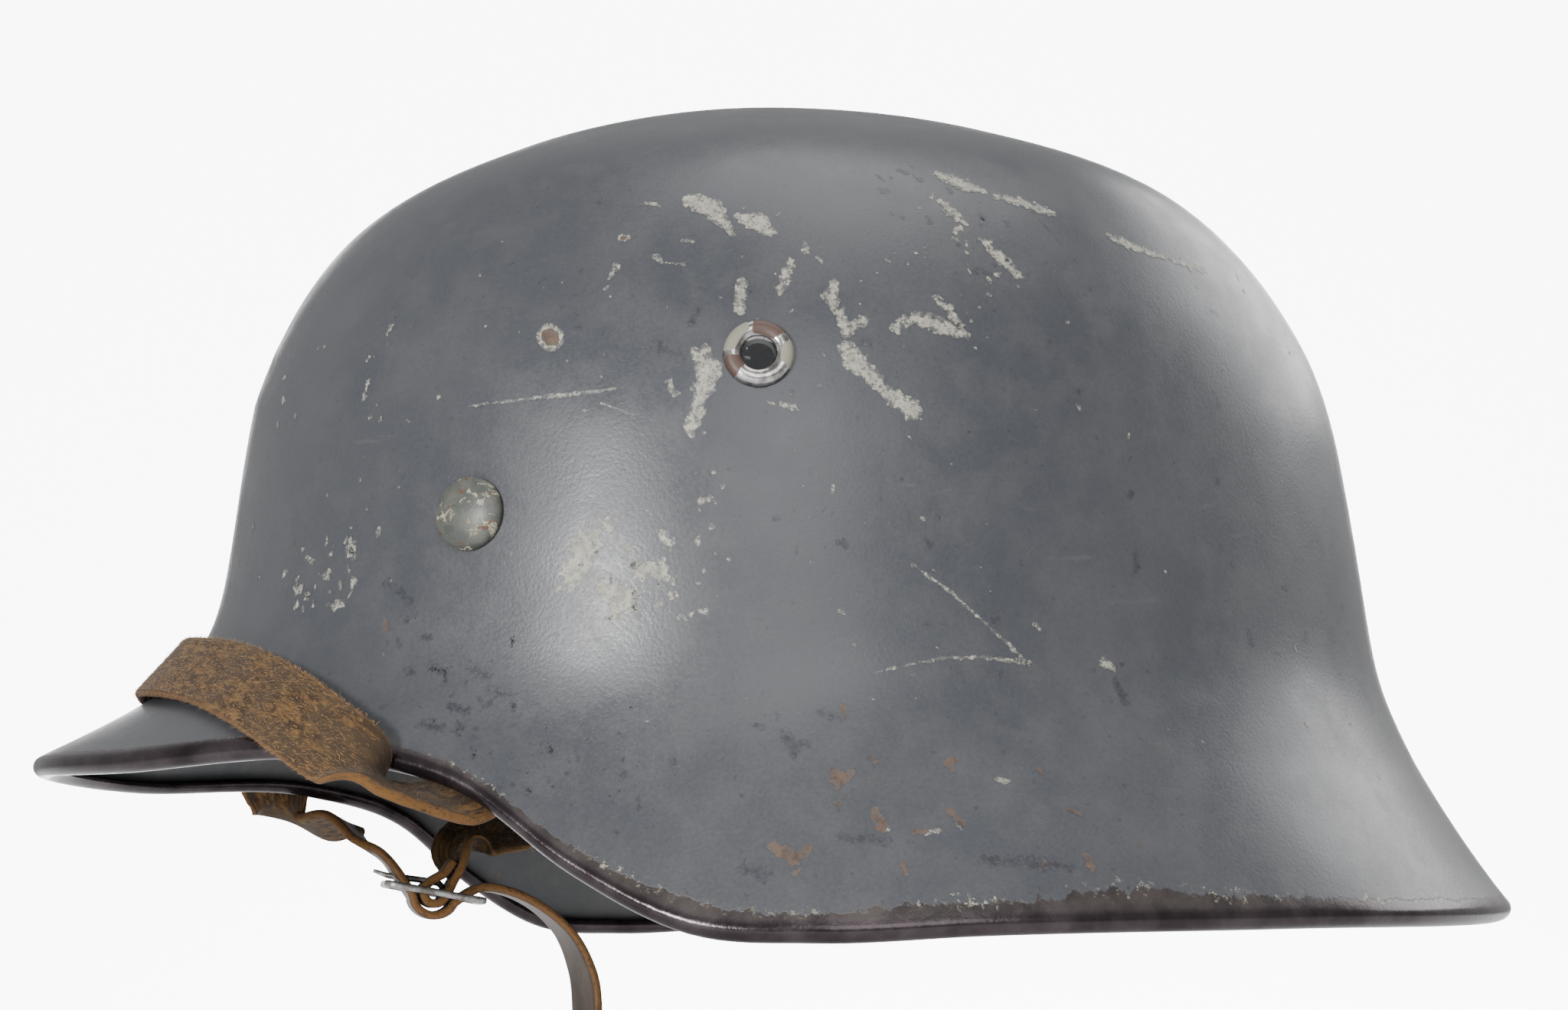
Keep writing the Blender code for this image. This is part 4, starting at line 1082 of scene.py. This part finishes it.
def build_rivets():
    """Domed rivet heads with their split ends spread flat inside."""
    material = rivet_material()
    through = SHEET + 3 * GAP
    places = (("rivet_left", RIVET_AZIMUTH, through + HANGER_SHEET + GAP),
              ("rivet_right", -RIVET_AZIMUTH, through + HANGER_SHEET + GAP),
              ("rivet_rear", 180.0, through))
    for node, azimuth, grip in places:
        head = []
        for i in range(RIVET_ARC + 1):
            a = math.radians(90.0 * i / RIVET_ARC)
            head.append((RIVET_HEAD_RADIUS * math.sin(a) ** 0.92,
                         0.35 * MM + (RIVET_HEAD_HEIGHT - 0.35 * MM) * math.cos(a)))
        head += [(RIVET_HEAD_RADIUS, 0.1 * MM), (RIVET_HEAD_RADIUS * 0.98, -0.35 * MM),
                 (2.0 * MM, -0.45 * MM), (2.0 * MM, GAP - grip),
                 (CLENCH_RADIUS, GAP - grip), (CLENCH_RADIUS, GAP - grip - 0.5 * MM),
                 (CLENCH_RADIUS * 0.85, GAP - grip - 1.0 * MM),
                 (0.0001 * MM, GAP - grip - 1.0 * MM)]
        head[0] = (0.0001 * MM, RIVET_HEAD_HEIGHT)
        point, normal, downhill = skin_frame(azimuth, RIVET_HEIGHT)
        made, angles = lathe(node + "_head", head, RIVET_SIDES, material, point, normal, -downhill)
        # Share of painted shade in the crevice where the head's rim meets the shell.
        crevice = [max(0.0, 1.0 - abs(z + 0.1 * MM) / (0.7 * MM)) if r > 5.5 * MM else 0.0
                   for r, z in head]
        keep_values(made, "crevice", crevice * RIVET_SIDES)
        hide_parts(node)
        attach(made, "root")


def bump_share(angle, centre, width):
    """Share from 0 to 1 of how near an angle is to a centre, in degrees."""
    return max(0.0, 1.0 - side_of(angle - centre) / width)


def build_vents():
    """Rolled vent bushes, worn bright below and patched with primer and rust."""
    material = vent_material()
    barrel = VENT_HOLE_RADIUS + VENT_WALL
    inside = -SHEET - 2 * GAP
    for node, side in (("vent_eyelet_left", 1), ("vent_eyelet_right", -1)):
        profile = []
        middle = (VENT_HOLE_RADIUS + VENT_FLANGE_RADIUS) / 2
        half = (VENT_FLANGE_RADIUS - VENT_HOLE_RADIUS) / 2
        profile.append((VENT_HOLE_RADIUS, inside - 0.5 * VENT_WALL))
        profile.append((VENT_HOLE_RADIUS, -0.2 * MM))
        for i in range(VENT_ARC + 1):
            a = math.radians(180.0 - 180.0 * i / VENT_ARC)
            r = middle + half * math.cos(a)
            z = (VENT_FLANGE_HEIGHT - 0.1 * MM) * math.sin(a) ** 0.8 + 0.1 * MM
            profile.append((r, z))
        profile += [(VENT_FLANGE_RADIUS, -0.3 * MM), (barrel, -0.4 * MM), (barrel, inside),
                    (VENT_CRIMP_RADIUS, inside), (VENT_CRIMP_RADIUS, inside - VENT_WALL / 2),
                    (barrel, inside - VENT_WALL), (VENT_HOLE_RADIUS, inside - VENT_WALL / 2)]
        point, normal, downhill = skin_frame(side * VENT_AZIMUTH, VENT_HEIGHT)
        made, angles = lathe(node + "_bush", profile, VENT_SIDES, material, point, normal,
                             -downhill)
        cream, brown, paint, crevice = [], [], [], []
        for i in range(len(angles)):
            r, z = profile[i % len(profile)]
            angle = angles[i]
            lip = max(0.0, min(1.0, (r - 3.4 * MM) / (0.8 * MM)))
            rim = max(bump_share(angle, 38.0, 48.0), bump_share(angle, 188.0, 34.0))
            cream.append(1.6 * rim * lip)
            stain = max(bump_share(angle, 112.0, 46.0), 0.8 * bump_share(angle, 335.0, 30.0))
            brown.append(1.6 * stain * (1.0 if r > 3.2 * MM else 0.3))
            paint.append(1.0 if z < 0.05 * MM and r < 3.2 * MM else 0.0)
            # Painted shade in the crevice where the flange's edge meets the shell.
            crevice.append(1.0 if r > 5.7 * MM and z < 0.3 * MM else 0.0)
        keep_values(made, "cream", cream)
        keep_values(made, "brown", brown)
        keep_values(made, "paint", paint)
        keep_values(made, "crevice", crevice)
        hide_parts(node)
        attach(made, "root")


def ring_of(width, thickness, corner, columns):
    """Cross section of a strap: across and up, with rounded corners."""
    ring = []
    half_w = width / 2 - corner
    half_t = thickness / 2 - corner
    for way in (1, -1):
        for k in range(columns + 1):
            ring.append((way * half_w * (2 * k / columns - 1), way * (half_t + corner)))
        for k in range(1, 5):
            a = math.radians(way * 90.0 - 36.0 * k)
            ring.append((way * half_w + corner * math.cos(a),
                         way * half_t * (1 - 0.4 * k) + corner * math.sin(a)))
    return ring


def build_strap(name, node, places, acrosses, count, materials, rough, seed):
    """A leather strap with worn edges, and loose fibres on its rough side."""
    rough_from, rough_to, both_to = rough
    line, knots, total = curve_through(places, count)
    sides = [[(knots[i], a[axis]) for i, a in enumerate(acrosses)] for axis in range(3)]
    ring = ring_of(STRAP_WIDTH, STRAP_THICKNESS, STRAP_CORNER, STRAP_COLUMNS)
    points, lie, rough_side, edge = [], [], [], []
    stations = []
    for i, middle in enumerate(line):
        s = total * i / count
        ahead = (line[min(i + 1, count)] - line[max(i - 1, 0)]).normalized()
        across = Vector(open_smooth(side, s) for side in sides)
        face = ahead.cross(across).normalized()
        across = face.cross(ahead).normalized()
        stations.append((middle, ahead, across, face, s))
        for a, b in ring:
            key = Vector((s * 260.0, a * 260.0, seed + (2.0 if b > 0 else 0.0)))
            outer = max(0.0, abs(a) / (STRAP_WIDTH / 2) - 0.9) * 10.0
            bite = Vector((s * 420.0, seed + (9.0 if a > 0 else 0.0), 0.0))
            nibble = noise.fractal(bite, 0.6, 2.0, 3)
            sway = noise.noise(key * 0.35) * 0.10 * MM
            pull = (abs(nibble) * -0.55 + 0.12) * MM * outer
            spot = middle + across * (a + math.copysign(pull, a)) + face * (b + sway)
            points.append(spot)
            lie.append((s, a, b))
            rough_side.append(1.0 if b < -0.2 * MM or s < both_to else 0.0)
            edge.append(max(0.0, min(1.0, (abs(a) - 6.0 * MM) / (0.8 * MM))))
    wide = len(ring)
    faces = [tuple(reversed(range(wide))), *net(count + 1, wide, tube=True),
             tuple(range(count * wide, count * wide + wide))]
    slots = [0] * len(faces)
    tone = [0.0] * len(points)
    pick = random.Random(seed)
    for i in range(int((rough_to - rough_from) / MM * FIBRES)):
        s = pick.uniform(rough_from, rough_to)
        at = min(count - 1, int(s / total * count))
        middle, ahead, across, face, station = stations[at]
        spread = pick.random()
        a = pick.uniform(-1.0, 1.0) if spread < 0.72 else math.copysign(pick.uniform(0.86, 1.02),
                                                                        pick.random() - 0.4)
        root = middle + across * a * STRAP_WIDTH / 2 + ahead * (s - station)
        root -= face * STRAP_THICKNESS / 2 * (1.0 if abs(a) < 0.9 else pick.uniform(0.0, 1.0))
        way = ahead * pick.gauss(1.0, 0.5) + across * pick.gauss(-0.25, 0.35)
        way -= face * abs(pick.gauss(0.0, 0.16))
        if abs(a) > 0.9:
            way += across * math.copysign(pick.uniform(0.2, 0.8), a)
        way.normalize()
        length = pick.uniform(0.3, 1.2) * MM
        thick = pick.uniform(0.02, 0.045) * MM
        side = way.cross(face).normalized() * thick
        bend = -face * pick.uniform(0.0, 0.12) * MM + across * pick.gauss(0.0, 0.12) * MM
        base = len(points)
        points += [root - side, root + side, root + way * length * 0.55 + bend + side * 0.8,
                   root + way * length * 0.55 + bend - side * 0.8, root + way * length]
        faces += [(base, base + 1, base + 2, base + 3), (base + 3, base + 2, base + 4)]
        slots += [1, 1]
        shade = pick.random()
        tone += [shade] * 5
        lie += [(0.0, 0.0, 0.0)] * 5
        rough_side += [1.0] * 5
        edge += [0.0] * 5
    made = add_object(name, points, faces, materials, slots)
    keep_values(made, "lie", lie, "FLOAT_VECTOR")
    keep_values(made, "rough_side", rough_side)
    keep_values(made, "edge", edge)
    keep_values(made, "tone", tone)
    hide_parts(node)
    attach(made, "root")


def lay_rows(rows, places, acrosses):
    """Add a strap's rows that are measured from the buckle."""
    across, along, up = buckle_axes()
    for x, b, c, *way in rows:
        places.append(from_buckle(x * STRAP_WIDTH, b * STRAP_WIDTH, c * STRAP_WIDTH))
        acrosses.append(across * way[0] + along * way[1] + up * way[2])


def build_straps():
    """The long strap over the visor and the short strap that holds the buckle."""
    across, along, up = buckle_axes()
    materials = [leather_material(), fibre_material()]
    frames = {}
    for side in (1, -1):
        places, acrosses = hanger_frames(side)
        ahead = (places[-1] - places[-2]).normalized()
        face = ahead.cross(acrosses[-1]).normalized()
        frames[side] = (places[-1] - ahead * HANGER_BAR / 2, ahead, face.cross(ahead).normalized())
    bar, ahead, side_across = frames[1]
    places = fold(bar, ahead, side_across, hanger_reach())
    acrosses = [side_across] * len(places)
    for azimuth, out, rise, a, b, c in LONG_STRAP:
        end = flare_curve(azimuth)[3]
        flat = Vector((end.x + out * STRAP_WIDTH, end.y + rise * STRAP_WIDTH))
        places.append(in_space(azimuth, flat))
        radial = outward(azimuth)
        forward = Vector((0, 0, 1)).cross(radial) * (-1 if azimuth > 0 else 1)
        acrosses.append(radial * a + forward * b + Vector((0, 0, c)))
    lay_rows(LONG_STRAP_IN, places, acrosses)
    under = bar_reach() + 3 * GAP + 1.5 * STRAP_THICKNESS
    for angle in UNDER_TURNS:
        turn = math.radians(angle)
        places.append(from_buckle(0.0, under * math.cos(turn), under * math.sin(turn)))
        acrosses.append(across)
    over = BUCKLE_THICKNESS / 2 + GAP + STRAP_THICKNESS
    places.append(from_buckle(0.0, (BUCKLE_LENGTH - BUCKLE_BAR) / 2, over))
    acrosses.append(across)
    lay_rows(TAIL, places, acrosses)
    build_strap("chin_strap_long_leather", "chin_strap_long", places, acrosses,
                LONG_STRAP_STEPS, materials, LONG_STRAP_ROUGH, 5)

    lift = math.radians(FOLD_LIFT)
    leg = along * math.cos(lift) + up * math.sin(lift)
    places = fold(buckle_middle(), leg, across, bar_reach())
    acrosses = [across] * len(places)
    lay_rows(SHORT_STRAP, places, acrosses)
    bar, ahead, side_across = frames[-1]
    far = fold(bar, ahead, side_across, hanger_reach())
    places += reversed(far)
    acrosses += [side_across] * len(far)
    build_strap("chin_strap_short_leather", "chin_strap_short", places, acrosses,
                SHORT_STRAP_STEPS, materials, SHORT_STRAP_ROUGH, 8)


def build_prong():
    """Round prong hooked on the buckle's middle bar."""
    radius = bar_reach() + GAP + PRONG_RADIUS
    rest = BUCKLE_THICKNESS / 2 + GAP + PRONG_RADIUS
    end = BUCKLE_LENGTH / 2
    path = [(radius * math.cos(math.radians(t)), radius * math.sin(math.radians(t)))
            for t in PRONG_TURNS]
    path += [(-end * 0.35, radius * 0.97), (-end + BUCKLE_BAR / 2, rest * 1.05),
             (-end * 1.22, rest * 1.3)]
    line, knots, total = curve_through([from_buckle(0.0, b, c) for b, c in path], PRONG_STEPS)
    across = buckle_axes()[0]
    points = []
    for i, middle in enumerate(line):
        ahead = (line[min(i + 1, PRONG_STEPS)] - line[max(i - 1, 0)]).normalized()
        up = ahead.cross(across).normalized()
        size = PRONG_RADIUS * min(1.0, 0.55 + 0.45 * (PRONG_STEPS - i) / 12)
        for k in range(PRONG_SIDES):
            a = 2 * math.pi * k / PRONG_SIDES
            points.append(middle + across * size * math.cos(a) + up * size * math.sin(a))
    count = PRONG_STEPS * PRONG_SIDES
    faces = net(PRONG_STEPS + 1, PRONG_SIDES, tube=True)
    faces += [tuple(reversed(range(PRONG_SIDES))), tuple(range(count, count + PRONG_SIDES))]
    steel = steel_material("prong_steel", (0.50, 0.49, 0.47), (0.22, 0.20, 0.18), 0.32, 0.5)
    made = add_object("buckle_prong_round", points, faces, [steel])
    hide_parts("buckle_prong")
    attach(made, "root")


def build_frame():
    """Buckle frame of worn bar with rounded edges, and its middle bar."""
    half_w, half_l = (BUCKLE_WIDTH - BUCKLE_BAR) / 2, (BUCKLE_LENGTH - BUCKLE_BAR) / 2
    corner = 0.9 * BUCKLE_BAR
    arcs = []
    for k, (a, b) in enumerate(((1, 1), (-1, 1), (-1, -1), (1, -1))):
        turns = [math.radians(90.0 * k + 90.0 * i / 8) for i in range(9)]
        arcs.append([(a * (half_w - corner) + corner * math.cos(turn),
                      b * (half_l - corner) + corner * math.sin(turn)) for turn in turns])
    path = []
    for k, arc in enumerate(arcs):
        (x0, y0), (x1, y1) = arc[-1], arcs[(k + 1) % 4][0]
        path += arc + [(x0 + (x1 - x0) * i / 8, y0 + (y1 - y0) * i / 8) for i in range(1, 8)]
    bar = [(math.copysign(abs(math.cos(t)) ** 0.6, math.cos(t)) * BUCKLE_BAR / 2,
            math.copysign(abs(math.sin(t)) ** 0.6, math.sin(t)) * BUCKLE_THICKNESS / 2)
           for t in (2 * math.pi * k / BAR_SIDES for k in range(BAR_SIDES))]
    points = []
    count = len(path)
    for i, (x, y) in enumerate(path):
        ahead = Vector(path[(i + 1) % count]) - Vector(path[i - 1])
        side = Vector((ahead.y, -ahead.x)).normalized()
        bow = 0.125 * MM * noise.noise(Vector((x, y, 0.0)) * 90.0)
        points += [from_buckle(x + side.x * a, y + side.y * a, b + bow) for a, b in bar]
    faces = net(count, BAR_SIDES, ring=True, tube=True, flip=True)
    faces += net(9, BAR_SIDES, len(points), tube=True)
    for i in range(9):
        x = (half_w - 0.2 * BUCKLE_BAR) * (i / 4 - 1)
        points += [from_buckle(x, a, b * 0.98) for a, b in bar]
    steel = steel_material("buckle_steel", (0.40, 0.40, 0.39), (0.15, 0.135, 0.12), 0.34, 0.6)
    made = add_object("buckle_frame_bar", points, faces, [steel])
    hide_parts("buckle_frame")
    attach(made, "root")


def dress_nodes():
    """Better surfaces and softened edges for the CAD nodes that stay."""
    hanger = steel_material("hanger_steel", (0.13, 0.13, 0.125), (0.06, 0.052, 0.045), 0.5, 0.8)
    for node in ("strap_hanger_left", "strap_hanger_right"):
        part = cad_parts[node]
        for slot in part.material_slots:
            slot.material = hanger
        soft = part.modifiers.new("soft edges", "BEVEL")
        soft.width = 0.3 * MM
        soft.segments = 2
        soft.limit_method = "ANGLE"


def build_stage():
    """Plain pale floor, soft light and the camera."""
    floor_mat = Nodes("pale_floor")
    floor_mat.set(Base_Color=(0.86, 0.86, 0.87), Roughness=0.9)
    rings = (0.001, 0.3, 1.0, 3.0, 12.0)
    points = []
    for r in rings:
        for k in range(FLOOR_SIDES):
            a = 2 * math.pi * k / FLOOR_SIDES
            points.append((r * math.cos(a), r * math.sin(a), FLOOR_LEVEL))
    faces = net(len(rings), FLOOR_SIDES, tube=True, flip=True)
    floor = add_object("floor", points, faces, [floor_mat.material])

    paper = Nodes("white_backdrop")
    paper.set(Base_Color=(0.9, 0.9, 0.9), Roughness=1.0, Emission_Color=(1.0, 1.0, 1.0),
              Emission_Strength=BACKDROP_LIGHT)
    right = Vector(CAMERA_RIGHT)
    up = Vector(CAMERA_UP)
    middle = Vector(CAMERA_PLACE) - right.cross(up) * BACKDROP_AWAY
    wide, high = BACKDROP_HALF
    corners = [middle + right * a * wide + up * b * high
               for a, b in ((-1, -1), (1, -1), (1, 1), (-1, 1))]
    wall = add_object("backdrop", corners, [(0, 1, 2, 3)], [paper.material])

    world = bpy.data.worlds.new("studio")
    world.use_nodes = True
    back = world.node_tree.nodes["Background"]
    back.inputs["Color"].default_value = (1.0, 1.0, 1.0, 1.0)
    back.inputs["Strength"].default_value = WORLD_LIGHT
    bpy.context.scene.world = world

    for name, way, distance, size, power in LIGHTS:
        lamp = bpy.data.lights.new(name, "AREA")
        lamp.shape = "RECTANGLE"
        lamp.size = size[0]
        lamp.size_y = size[1]
        lamp.energy = power
        place = bpy.data.objects.new(name, lamp)
        bpy.context.scene.collection.objects.link(place)
        back_way = Vector(way).normalized()
        place.location = Vector(LIGHT_TARGET) + back_way * distance
        place.rotation_mode = "QUATERNION"
        place.rotation_quaternion = back_way.to_track_quat("Z", "Y")

    camera = bpy.data.cameras.new("camera")
    camera.sensor_fit = "HORIZONTAL"
    camera.sensor_width = 36.0
    camera.lens = CAMERA_LENS
    camera.clip_start = 0.01
    camera.clip_end = 100.0
    eye = bpy.data.objects.new("camera", camera)
    bpy.context.scene.collection.objects.link(eye)
    turn = Matrix([right, up, right.cross(up)]).transposed()
    eye.matrix_world = Matrix.Translation(Vector(CAMERA_PLACE)) @ turn.to_4x4()
    bpy.context.scene.camera = eye


shell = build_shell()
build_wear(shell)
build_rivets()
build_vents()
build_straps()
build_frame()
build_prong()
dress_nodes()
build_stage()
